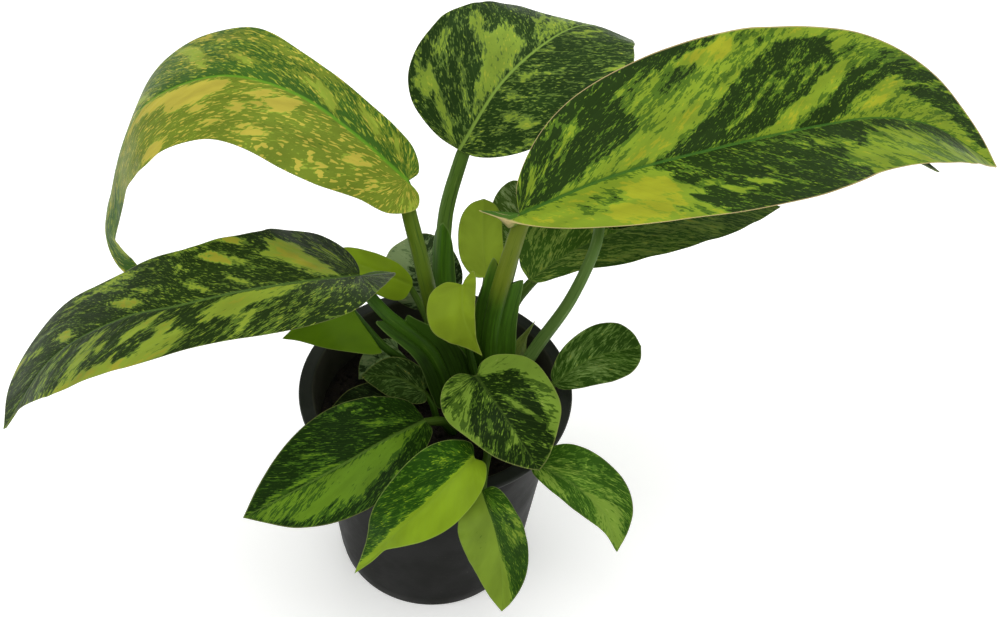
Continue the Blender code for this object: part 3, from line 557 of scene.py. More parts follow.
LIME_LEFT_REAR = LeafShape(
    "leaf_lime_left_rear", "leaf_lime", 2.2,
    stalk=((2, 22, 106), (-4, 36, 132)),
    rib=((-14, 49, 150), (-31, 48, 160), (-59, 67, 155)),
    left=((4, 9), (12, 13), (30, 11), (48, 4)),
    right=((2, 4), (10, 8), (20, 9), (30, 9), (48, 6)),
    facing=(0, -0.4, 1), lift_left=(5,), lift_right=(5,), wave=0.0, base=(LIME_TONE, LIME_TONE),
    finish=LeafFinish(
        mid=(100, 124, 18), lime=(114, 140, 24), yellow=(128, 152, 34), rib=(118, 144, 34), band=0.08,
        streak=0.03, fleck=0.02,
    ),
)
LIME_LEFT = LeafShape(
    "leaf_lime_left", "leaf_lime", 2.2,
    stalk=((-3, 11, 106), (-9, 13.5, 121), (-19, 14, 131), (-28, 17, 137), (-37, 24, 143)),
    rib=((-45, 33, 150), (-60, 17, 156), (-78, 8, 150)),
    left=((4.5, 5.5), (6.5, 13.5), (8.5, 20.5), (9, 26.5), (8.5, 32.5), (13.5, 32), (18.5, 28), (24, 21.5),
          (30, 14), (37, 6)),
    right=((0, 5), (10, 7), (26, 5)),
    facing=(0, -0.4, 1), lift_left=(5,), lift_right=(5,), wave=0.0, base=(LIME_TONE, LIME_TONE),
    stalk_finish=DEEP_STALK,
    finish=LeafFinish(
        mid=(74, 104, 12), lime=(88, 120, 16), yellow=(102, 132, 22), rib=(92, 124, 24), band=0.08,
        streak=0.03, fleck=0.02,
    ),
)
HEART_LIME = LeafShape(
    "leaf_heart_lime", "leaf_lime", 1.9,
    stalk=((20, 4, 130), (16, 5, 148), (12, 7, 172)),
    rib=((11, 10, 190), (12, -6, 184), (22, -12, 163)),
    left=((-3, 1.5), (-7, 5.6), (-4, 6.6), (6, 6.4), (14.5, 6), (22.5, 4.3), (31, 1.4)),
    right=((-1, 8), (4, 14), (12, 17), (18, 17), (25, 11.5), (33, 5)),
    facing=(0, -1, 0.6), lift_left=(5,), lift_right=(5,), base=(LIME_TONE, LIME_TONE),
    stalk_finish=DEEP_STALK,
    finish=LeafFinish(
        mid=(96, 116, 20), lime=(108, 128, 26), yellow=(122, 140, 34), rib=(112, 132, 34), band=0.08,
        streak=0.03, fleck=0.02,
    ),
)
HEART_FRONT = LeafShape(
    "leaf_heart_front", "leaf_dark", 2.5,
    stalk=((23, -12, 106), (20, -17, 136)),
    rib=((19, -22, 160), (32, -48, 162), (49, -69, 148)),
    left=((-4, 5), (-3, 12), (6, 21), (18, 26.5), (30, 27), (40, 25), (48, 18), (57, 7)),
    right=((-7, 7), (-6, 14), (0, 20), (8, 23), (18, 23.5), (28, 20.5), (44, 14), (56, 4.5)),
    facing=(0, -1, 1), slant=(1.0, 1.0), wave=0.2, base=(0.06, 0.06),
    finish=LeafFinish(
        dark=(20, 37, 5), mid=(56, 80, 20), lime=(100, 126, 42), yellow=(128, 144, 68), rib_line=0.15,
        streak=0.32, fleck=0.2, calm=0.16, fringe=3.0,
    ),
    marks=(
        Mark(0.62, ((-6, 4), (0, 1), (5, 5), (9, 11), (13, 17), (20, 20), (26, 19), (36, 18), (44, 15),
                    (53, 12), (58, 4), (58, 12), (46, 24), (30, 30), (10, 26), (-6, 16))),
        Mark(0.44, ((22, 19), (32, 22), (44, 18)), 2.6),
        Mark(0.44, ((-8, -3), (4, -3), (10, -7), (18, -12), (26, -16), (36, -17), (44, -14), (44, -22),
                    (20, -28), (0, -24), (-8, -14))),
        Mark(0.56, ((2, -6), (12, -11), (24, -18)), 2.6),
        Mark(0.66, ((10, -22), (24, -23), (36, -18)), 1.8),
        Mark(0.04, ((1, -16), (7, -20)), 2.2),
        Mark(0.64, ((21, 5), (30, 8), (40, 13)), 1.5),
        Mark(0.56, ((36, 0), (45, -2)), 2.0),
        Mark(0.58, ((26, -7), (36, -9)), 0.9),
        Mark(0.5, ((39, -5), (44, -6)), 1.2),
        Mark(0.48, ((45, 4), (48, 3)), 1.6),
        Mark(0.44, ((15, -2), (20, -1)), 1.4),
    ),
)
SMALL_RIGHT = LeafShape(
    "leaf_small_right", "leaf_dark", 2.2,
    stalk=((36, -12, 106), (45, -11, 124)),
    rib=((59, -6, 138), (78, 1, 150), (104, 12, 148)),
    left=((1, 4), (7, 8.5), (13, 11.5), (20, 13.5), (30, 15.5), (38, 15), (44, 13), (50, 7)),
    right=((1, 4), (10, 10), (25, 14.5), (32, 14.7), (42, 12.5), (49, 7)),
    facing=(0, -0.6, 1), lift_left=(5,), lift_right=(5,), slant=(1.5, 2.2), wave=0.15, base=(0.17, 0.2),
    finish=LeafFinish(
        dark=(42, 70, 14), mid=(76, 104, 40), lime=(112, 138, 70), rib_line=0.3, streak=0.38, specks=0.24,
    ),
    marks=(
        Mark(0.52, ((11, 3), (18, 7), (25, 12)), 1.8),
        Mark(0.34, ((20, 10), (30, 14)), 2.4),
        Mark(0.52, ((10, -3), (20, -7), (32, -10)), 1.6),
        Mark(0.46, ((14, -2), (24, -5), (35, -8)), 1.1),
        Mark(0.3, ((6, -5), (16, -10)), 1.6),
    ),
)
FRONT_LEFT = LeafShape(
    "leaf_front_left", "leaf_streaked", 2.6,
    stalk=((9, -13, 106), (3, -18, 120)),
    rib=((-5, -25, 129), (-24, -43, 135), (-44, -59, 135), (-67, -69, 126), (-90, -74, 112)),
    left=((0, 6), (8, 12), (30, 21), (49, 25), (66, 23), (82, 17), (97, 7)),
    right=((1, 5), (4, 12), (18, 20), (40, 26), (58, 25), (76, 19), (94, 9)),
    facing=(0, -0.6, 1), slant=(2.0, 2.0), wave=0.2, base=(0.09, 0.06),
    finish=LeafFinish(
        dark=(20, 41, 5), mid=(50, 80, 18), lime=(88, 120, 26), yellow=(108, 134, 38), rib=(96, 126, 46),
        streak=0.32, fleck=0.22, specks=0.32, calm=0.16, fringe=4.0,
    ),
    marks=(
        Mark(0.6, ((1, 0.6), (10, 3), (22, 8), (36, 13), (46, 16), (58, 18), (70, 18), (81, 14), (84, 10),
                   (92, 8), (104, 1), (80, 0.5), (50, 0.5))),
        Mark(0.46, ((62, 3), (78, 6), (94, 4)), 4.0),
        Mark(0.7, ((50, 8), (66, 12), (78, 11)), 2.4),
        Mark(0.4, ((60, 15), (72, 16)), 2.0),
        Mark(0.6, ((48, -1), (72, -2.5), (95, -1)), 1.2),
        Mark(0.46, ((10, -4), (22, -7), (34, -12)), 1.8),
        Mark(0.42, ((56, -9), (67, -13)), 1.6),
        Mark(0.34, ((30, -22), (50, -24)), 2.0),
    ),
)
FRONT_TWO_TONE = LeafShape(
    "leaf_front_two_tone", "leaf_lime", 2.4,
    stalk=((15, -24, 106), (14, -40, 128)),
    rib=((19, -59, 143), (8, -73, 143), (-3, -83, 137), (-15, -88, 125), (-25, -88, 106), (-37, -87, 86)),
    left=((-2, 5), (3, 10), (14, 14), (30, 15), (46, 11), (58, 6), (68, 1.5), (82, 1)),
    right=((-4, 6), (2, 13), (16, 19.5), (32, 20.5), (48, 17.5), (62, 12), (80, 5.5)),
    facing=(0, -0.7, 0.9), slant=(1.0, 2.2), wave=0.3, base=(LIME_TONE + 0.04, 0.1),
    finish=LeafFinish(
        dark=(28, 58, 6), mid=(56, 90, 16), lime=(114, 140, 26), yellow=(130, 152, 44), edge=(140, 160, 80),
        rib_line=0.1, band=0.1, streak=0.22, fleck=0.2, specks=0.32, calm=0.08, fringe=1.5,
    ),
    marks=(
        Mark(0.68, ((-3, 0), (0, -2), (30, -2.3), (60, -3), (90, -3), (97, 0), (97, 20), (-4, 20))),
        Mark(0.42, ((25, -5), (34, -8)), 1.3),
        Mark(0.42, ((29, -12), (37, -14)), 1.4),
        Mark(0.36, ((11, -8), (16, -11)), 1.2),
        Mark(0.36, ((4, -8), (7, -9)), 1.2),
        Mark(0.4, ((41, -4), (47, -4)), 1.2),
        Mark(0.36, ((48, -9), (54, -9)), 2.0),
        Mark(0.36, ((60, -5), (76, -5)), 1.4),
    ),
)
FRONT_HANGING = LeafShape(
    "leaf_front_hanging", "leaf_streaked", 2.2,
    stalk=((27, -22, 106), (26, -44, 127), (24, -60, 131)),
    rib=((23, -69, 131.5), (26, -76, 127), (30, -78, 114), (35, -83, 86), (36, -93, 64)),
    left=((0, 6), (8, 11), (20, 13.3), (38, 14), (56, 11.5), (70, 5)),
    right=((-2, 5), (5, 12), (16, 17), (28, 17.5), (46, 14.5), (64, 8)),
    facing=(0, -1, 0.4), lift_left=(5,), lift_right=(5,), slant=(3.0, 1.0), wave=0.3,
    base=(0.06, LIME_TONE),
    finish=LeafFinish(
        dark=(32, 60, 8), mid=(62, 94, 20), lime=(106, 130, 38), yellow=(120, 142, 58), edge=(124, 140, 76),
        rib_line=0.1, band=0.1, streak=0.26, fleck=0.2, calm=0.1, fringe=1.5, roughness=0.5,
    ),
    marks=(
        Mark(0.62, ((-4, -2), (16, -2), (28, -0.5), (44, 1), (52, 3), (66, 5), (80, 4), (80, -20),
                    (-4, -20))),
        Mark(0.52, ((9, 9), (18, 11), (34, 12)), 2.0),
        Mark(0.48, ((18, 5), (28, 8), (37, 8)), 3.2),
        Mark(0.4, ((5, 2), (16, 5)), 1.6),
        Mark(0.1, ((19, 8), (27, 8)), 1.3),
    ),
)
FRONT_RIGHT = LeafShape(
    "leaf_front_right", "leaf_streaked", 2.2,
    stalk=((34, -20, 106), (38, -32, 124), (43, -44, 131)),
    rib=((48, -52, 132), (61, -59, 130.5), (72, -61, 122), (85, -65, 108), (92, -74, 90)),
    left=((1, 5), (6, 12), (14, 17), (30, 18.7), (45, 17), (55, 12.5), (63, 7)),
    right=((1, 4), (10, 7.5), (20, 9), (32, 9.5), (48, 7.5), (60, 3)),
    facing=(0, -0.7, 0.8), lift_left=(5,), lift_right=(5,), slant=(2.2, 2.4), wave=0.3, base=(0.12, 0.08),
    finish=LeafFinish(
        dark=(42, 74, 12), mid=(70, 104, 28), lime=(108, 136, 48), yellow=(124, 148, 60), rib_line=0.25,
        streak=0.3, fleck=0.24, calm=0.35,
    ),
    marks=(
        Mark(0.44, ((4, 1), (16, 4), (28, 8), (34, 5), (30, 1))),
        Mark(0.62, ((26, 0.5), (40, 4), (50, 8), (60, 7), (69, 1), (60, -4), (50, -6), (44, -4), (36, -1))),
        Mark(0.54, ((35, 6), (46, 9)), 1.4),
        Mark(0.64, ((3, -2), (14, -5), (26, -8)), 1.9),
        Mark(0.34, ((20, 8), (32, 14)), 2.4),
        Mark(0.5, ((46, -5), (56, -4)), 2.0),
    ),
)
INNER_DARK = LeafShape(
    "leaf_inner_dark", "leaf_dark", 1.8,
    stalk=((1, -7, 106), (-2, -4, 117)),
    rib=((-6, -2, 124), (-21, 2, 130), (-39, 4, 128)),
    left=((-3, 4), (4, 9), (20, 10), (29, 5)),
    right=((0, 6), (8, 10), (20, 10), (29, 5)),
    facing=(0, -0.8, 0.8), lift_left=(5,), lift_right=(5,), slant=(1.8, 1.8), base=(0.14, 0.14),
    finish=LeafFinish(dark=(38, 60, 14), mid=(66, 92, 38), lime=(96, 118, 60), rib_line=0.3),
    marks=(
        Mark(0.4, ((8, 3), (20, 6)), 1.0),
        Mark(0.4, ((6, -3), (18, -7)), 1.0),
    ),
)
INNER_PALE = LeafShape(
    "leaf_inner_pale", "leaf_pale", 1.6,
    stalk=((-14, 31, 106),),
    rib=((-21, 37, 113), (-33, 24, 117), (-41, 14, 114)),
    left=((-1, 5), (10, 9), (24, 6)),
    right=((-1, 5), (10, 9), (24, 6)),
    facing=(0, -0.8, 0.8), lift_left=(5,), lift_right=(5,), base=(0.4, 0.4),
    finish=LeafFinish(
        dark=(52, 72, 38), mid=(116, 142, 90), lime=(146, 168, 114), yellow=(168, 184, 130), rib_line=0.3,
    ),
)
INNER_LOW = LeafShape(
    "leaf_inner_low", "leaf_dark", 1.6,
    stalk=((-7, -11, 106),),
    rib=((-13, -4, 114), (-31, -3, 117), (-54, -4, 112)),
    left=((-1, 5), (12, 10), (32, 7)),
    right=((-1, 5), (12, 10), (32, 7)),
    facing=(0, -0.6, 1), lift_left=(5,), lift_right=(5,), slant=(1.8, 1.8), base=(0.14, 0.14),
    # painted shade: these greens are darker than a dark leaf's own, for the shade that this low inner leaf
    # sits in
    finish=LeafFinish(dark=(20, 32, 9), mid=(36, 54, 20), lime=(60, 78, 36), rib_line=0.3),
)
LEAVES = (
    ARCHING_LEFT, LOW_LEFT, TOP, GREAT_RIGHT, UNDER_RIGHT, REAR_RIGHT, SMALL_REAR, LIME_REAR,
    ROUND_REAR, LIME_LEFT_REAR, LIME_LEFT, HEART_LIME, HEART_FRONT, SMALL_RIGHT, FRONT_LEFT, FRONT_TWO_TONE,
    FRONT_HANGING, FRONT_RIGHT, INNER_DARK, INNER_PALE, INNER_LOW,
)


# Curves


def unit(vectors: np.ndarray) -> np.ndarray:
    """Returns the rows of an array of vectors at length one."""
    return vectors / np.maximum(np.linalg.norm(vectors, axis=-1, keepdims=True), 1e-12)


def smooth_path(points: tuple, per_span: int) -> np.ndarray:
    """Makes one smooth curve through all the given points.

    Args:
        points: the points, with two or three coordinates each.
        per_span: how many steps each span between two points gets.

    Returns:
        The curve's points, one row each.
    """
    knots = np.array(points, float)
    knots = np.vstack((2 * knots[0] - knots[1], knots, 2 * knots[-1] - knots[-2]))
    share = (np.arange(per_span) / per_span)[:, None]
    square = share ** 2
    cubic = share ** 3
    spans = []
    for index in range(1, len(knots) - 2):
        before, start, end, after = knots[index - 1:index + 3]
        gaps = (start - before, end - start, after - end)
        first, middle, last = (np.linalg.norm(gap) ** 0.5 for gap in gaps)
        slope_in = (start - before) / first - (end - before) / (first + middle) + (end - start) / middle
        slope_out = (end - start) / middle - (after - start) / (middle + last) + (after - end) / last
        spans.append(start * (2 * cubic - 3 * square + 1) + slope_in * middle * (cubic - 2 * square + share)
                     + end * (3 * square - 2 * cubic) + slope_out * middle * (cubic - square))
    return np.vstack(spans + [knots[-2:-1]])


def lengths_along(path: np.ndarray) -> np.ndarray:
    """Returns how far along the path each of its points is."""
    return np.concatenate(([0.0], np.cumsum(np.linalg.norm(np.diff(path, axis=0), axis=1))))


def directions(path: np.ndarray) -> np.ndarray:
    """Returns the way the path runs at each of its points."""
    return unit(np.vstack((path[1] - path[0], path[2:] - path[:-2], path[-1] - path[-2])))


def evenly(path: np.ndarray, count: int) -> tuple[np.ndarray, float]:
    """Resamples a path at even spacing.

    Args:
        path: the path's points.
        count: how many points to return.

    Returns:
        The new points, and the path's length.
    """
    lengths = lengths_along(path)
    targets = np.linspace(0.0, lengths[-1], count)
    return np.stack([np.interp(targets, lengths, axis) for axis in path.T], axis=1), float(lengths[-1])


def spread(values: tuple[float, ...], share: np.ndarray) -> np.ndarray:
    """Returns the evenly spaced values read at shares from 0 to 1."""
    count = max(len(values), 2)
    return np.interp(share, np.linspace(0.0, 1.0, count), np.resize(values, count))


def line_distance(spots: np.ndarray, line: np.ndarray) -> tuple[np.ndarray, np.ndarray]:
    """Measures flat spots against a line of points.

    Args:
        spots: the spots.
        line: the line's points.

    Returns:
        Each spot's distance from the line, and where on it, from 0 to 1, the nearest point is.
    """
    best = np.full(len(spots), np.inf)
    where = np.zeros(len(spots))
    lengths = lengths_along(line)
    for index, (start, end) in enumerate(zip(line, line[1:])):
        span = end - start
        share = np.clip((spots - start) @ span / max(span @ span, 1e-9), 0.0, 1.0)
        distance = np.linalg.norm(spots - start - share[:, None] * span, axis=1)
        closer = distance < best
        best = np.where(closer, distance, best)
        along = (lengths[index] + share * (lengths[index + 1] - lengths[index])) / lengths[-1]
        where = np.where(closer, along, where)
    return best, where


def inside(spots: np.ndarray, outline: np.ndarray) -> np.ndarray:
    """Tests flat spots against a closed outline.

    Args:
        spots: the spots.
        outline: the outline's corners.

    Returns:
        Whether each spot lies inside.
    """
    result = np.zeros(len(spots), bool)
    x, y = spots.T
    for (ax, ay), (bx, by) in zip(outline, np.roll(outline, -1, axis=0)):
        if ay != by:
            crosses = (ay > y) != (by > y)
            result ^= crosses & (x < (bx - ax) * (y - ay) / (by - ay) + ax)
    return result


class Rib:
    """The bent middle line of a blade, which carries flat places into space."""

    STATIONS = 401
    PER_SPAN = 40
    LEAST_BEND = 1e-6

    def __init__(self, points: tuple[Triple, ...], facing: Triple, roll: tuple[float, ...],
                 lifts: tuple[tuple[float, ...], ...], curls: Pair, widths: Pair) -> None:
        """Sets out the rib.

        Args:
            points: the points that the rib passes through.
            facing: which way the upper side faces at the joint.
            roll: the turn about the rib in degrees, spread evenly along it.
            lifts: for the left and the right half, how many degrees it rises from the rib, along it.
            curls: for each half, how many degrees it bends up from rib to margin.
            widths: the half widths that the curls go with.
        """
        self.points, self.length = evenly(smooth_path(points, self.PER_SPAN), self.STATIONS)
        self.along = directions(self.points)
        self.stations = np.linspace(0.0, 1.0, self.STATIONS)
        upper = []
        normal = np.array(facing, float)
        for along in self.along:
            normal = normal - along * normal.dot(along)
            normal = normal / np.linalg.norm(normal)
            upper.append(normal)
        upper = np.array(upper)
        turn = np.radians(spread(roll, self.stations))[:, None]
        side = np.cross(upper, self.along)
        self.side = side * np.cos(turn) + upper * np.sin(turn)
        self.normal = upper * np.cos(turn) - side * np.sin(turn)
        self.lifts = lifts
        self.bends = [math.radians(curl) / width for curl, width in zip(curls, widths)]

    def read(self, table: np.ndarray, share: np.ndarray) -> np.ndarray:
        """Returns the rows of a station table at shares of the rib's length."""
        return np.stack([np.interp(share, self.stations, axis) for axis in table.T], axis=-1)

    def carry(self, along: np.ndarray, out: np.ndarray, half: Half) -> tuple[np.ndarray, np.ndarray]:
        """Carries flat places of one half into space.

        Args:
            along: millimetres along the rib, which may run past its ends.
            out: millimetres out from the rib, below zero where a lobe crosses the rib's line.
            half: the half that they lie on.

        Returns:
            The places, and the upper side's normals there.
        """
        share = np.clip(along / self.length, 0.0, 1.0)
        over = np.minimum(along, 0.0) + np.maximum(along - self.length, 0.0)
        direction = unit(self.read(self.along, share))
        side = unit(self.read(self.side, share)) * half.sign
        normal = unit(self.read(self.normal, share))
        lift = np.radians(spread(self.lifts[half.value], share))
        bend = self.bends[half.value]
        bend = bend if abs(bend) > self.LEAST_BEND else self.LEAST_BEND
        angle = lift + bend * out
        sideways = ((np.sin(angle) - np.sin(lift)) / bend)[..., None]
        upward = ((np.cos(lift) - np.cos(angle)) / bend)[..., None]
        place = self.read(self.points, share) + direction * over[..., None]
        place = place + side * sideways + normal * upward
        return place, unit(normal * np.cos(angle)[..., None] - side * np.sin(angle)[..., None])


# Meshes


class Skin:
    """Collects the vertices, faces and painted fields of one piece, in millimetres."""

    FIELDS = {"tone": 1, "vein": 3, "place": 3, "edge": 1, "grain": 3}

    def __init__(self) -> None:
        """Starts an empty skin."""
        self.places: list[np.ndarray] = []
        self.faces: list[Face] = []
        self.slots: list[int] = []
        self.fields: dict[str, list[np.ndarray]] = {name: [] for name in self.FIELDS}
        self.count = 0

    def add(self, places: np.ndarray, faces: list[Face], surface: Surface, **fields: np.ndarray) -> None:
        """Adds one closed shell.

        Args:
            places: its vertices.
            faces: its faces, as indices into its own vertices.
            surface: the material slot that they take.
            fields: the painted fields; what isn't given is zero.
        """
        self.faces += [tuple(int(corner) + self.count for corner in face) for face in faces]
        self.slots += [surface.value] * len(faces)
        for name, width in self.FIELDS.items():
            given = fields.get(name, np.zeros((len(places), width)))
            self.fields[name].append(np.asarray(given, float).reshape(-1, width))
        self.places.append(places)
        self.count += len(places)

    def piece(self, name: str, materials: list[bpy.types.Material]) -> bpy.types.Object:
        """Makes one smooth shaded object of the collected shells.

        Args:
            name: the object's name.
            materials: its materials, in the order of the slots.

        Returns:
            The object.
        """
        mesh = bpy.data.meshes.new(name)
        mesh.from_pydata((np.vstack(self.places) * MM).tolist(), [], self.faces)
        mesh.polygons.foreach_set("material_index", self.slots)
        for field_name, width in self.FIELDS.items():
            kind, part = ("FLOAT", "value") if width == 1 else ("FLOAT_VECTOR", "vector")
            layer = mesh.attributes.new(field_name, kind, "POINT")
            layer.data.foreach_set(part, np.vstack(self.fields[field_name]).ravel())
        for material in materials:
            mesh.materials.append(material)
        mesh.shade_smooth()
        mesh.update()
        return show(bpy.data.objects.new(name, mesh))


def show(item: bpy.types.Object) -> bpy.types.Object:
    """Links an object to the scene and returns it."""
    bpy.context.scene.collection.objects.link(item)
    return item


def circle(radius: float, height: float, sides: int) -> np.ndarray:
    """Returns a level ring of points about the upright axis."""
    angle = np.linspace(0.0, math.tau, sides, endpoint=False)
    return np.stack((np.cos(angle) * radius, np.sin(angle) * radius, np.full(sides, height)), axis=1)


def closed_faces(rings: int, sides: int) -> list[Face]:
    """Joins rings of vertices that rise, and closes them at both ends.

    Args:
        rings: how many rings there are.
        sides: how many vertices each has.

    Returns:
        The faces, outward. They use two more vertices after the rings: the low end and the high end.
    """
    faces = []
    for low in range(0, (rings - 1) * sides, sides):
        for side in range(sides):
            near = (side + 1) % sides
            faces.append((low + side, low + near, low + near + sides, low + side + sides))
    count = rings * sides
    for side in range(sides):
        near = (side + 1) % sides
        faces.append((count, near, side))
        faces.append((count + 1, count - sides + side, count - sides + near))
    return faces


def lathe(name: str, profile: list[Pair], sides: int) -> bpy.types.Object:
    """Turns a profile about the upright axis.

    Args:
        name: the object's name.
        profile: (radius, height) pairs from the axis, down the outside, back to the axis.
        sides: how many steps the full turn has.

    Returns:
        The closed solid, with its faces outward.
    """
    rings = [circle(radius, height, sides) for radius, height in reversed(profile[1:-1])]
    places = np.vstack(rings + [[(0.0, 0.0, profile[-1][1])], [(0.0, 0.0, profile[0][1])]])
    mesh = bpy.data.meshes.new(name)
    mesh.from_pydata((places * MM).tolist(), [], closed_faces(len(rings), sides))
    mesh.update()
    return show(bpy.data.objects.new(name, mesh))


def rough_ball(rings: int, sides: int) -> tuple[np.ndarray, list[Face]]:
    """Makes a closed ball of radius one.

    Args:
        rings: how many bands it has from pole to pole.
        sides: how many vertices each ring has.

    Returns:
        Its vertices and its faces.
    """
    places = []
    for ring in range(1, rings):
        tilt = math.pi * ring / rings - math.pi / 2
        for side in range(sides):
            turn = math.tau * (side + 0.5 * ring) / sides
            places.append((math.cos(tilt) * math.cos(turn), math.cos(tilt) * math.sin(turn), math.sin(tilt)))
    return np.array(places + [(0.0, 0.0, -1.0), (0.0, 0.0, 1.0)]), closed_faces(rings - 1, sides)


def add_tube(skin: Skin, path: np.ndarray, radii: np.ndarray, sides: int, seed: int, surface: Surface,
             seam: float = 0.0) -> None:
    """Adds a closed tube along a path, with faint lengthwise ribs.

    Args:
        skin: what the tube is added to.
        path: its middle line.
        radii: its radius at each point of the line.
        sides: how many vertices a ring has.
        seed: the turn of its ribs.
        surface: the material slot that it takes.
        seam: how far, as a share of the radius, a rolled sheet's free edge stands out.
    """
    along = directions(path)
    across = np.array((1.0, 0.2, 0.0))
    ring = circle(1.0, 0.0, sides)
    angle = np.linspace(0.0, math.tau, sides, endpoint=False)
    ribbed = 1.0
    for height, count, turn in TUBE_RIBS:
        ribbed = ribbed + height * np.cos(count * angle + turn * seed)
    ribbed = ribbed + seam * (angle / math.tau)
    lengths = lengths_along(path)
    rings, grains = [], []
    for place, direction, radius, far in zip(path, along, radii, lengths):
        across = across - direction * across.dot(direction)
        across = across / np.linalg.norm(across)
        second = np.cross(direction, across)
        rings.append(place + (ring[:, :1] * across + ring[:, 1:2] * second) * (radius * ribbed)[:, None])
        grains.append(ring * radius + (0.0, 0.0, far))
    places = np.vstack(rings + [path[:1], path[-1:] + along[-1:] * radii[-1] * TUBE_END])
    grain = np.vstack(grains + [np.zeros((1, 3)), np.array([[0.0, 0.0, lengths[-1]]])])
    skin.add(places, closed_faces(len(path), sides), surface, grain=grain)


def cut(piece: bpy.types.Object, tools: list[bpy.types.Object]) -> None:
    """Cuts each tool out of a piece and removes the tools.

    Args:
        piece: the piece, which keeps its name.
        tools: closed solids that reach into it.
    """
    for tool in tools:
        step = piece.modifiers.new("cut", "BOOLEAN")
        step.operation = "DIFFERENCE"
        step.solver = "EXACT"
        step.object = tool
    bpy.context.view_layer.update()
    baked = bpy.data.meshes.new_from_object(piece.evaluated_get(bpy.context.evaluated_depsgraph_get()))
    piece.modifiers.clear()
    piece.data = baked
    for tool in tools:
        bpy.data.objects.remove(tool)


def hand_over(piece: bpy.types.Object, node: str) -> None:
    """Puts a finished piece on the body, in place of its solid.

    Args:
        piece: the piece.
        node: the solid's node.
    """
    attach(piece, BODY)
    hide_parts(node)
    log.info("%s: %d faces", piece.name, len(piece.data.polygons))


# Node wiring

Socket = bpy.types.NodeSocket
Number = Socket | float
Tint = Socket | Colour
Inputs = dict[int | str, Socket | float | Colour]


def linear(colour: Triple) -> Colour:
    """Returns an sRGB colour from 0 to 255 as a linear one with alpha."""
    parts = (part / 255.0 for part in colour)
    return (*(part / 12.92 if part <= 0.04045 else ((part + 0.055) / 1.055) ** 2.4 for part in parts), 1.0)


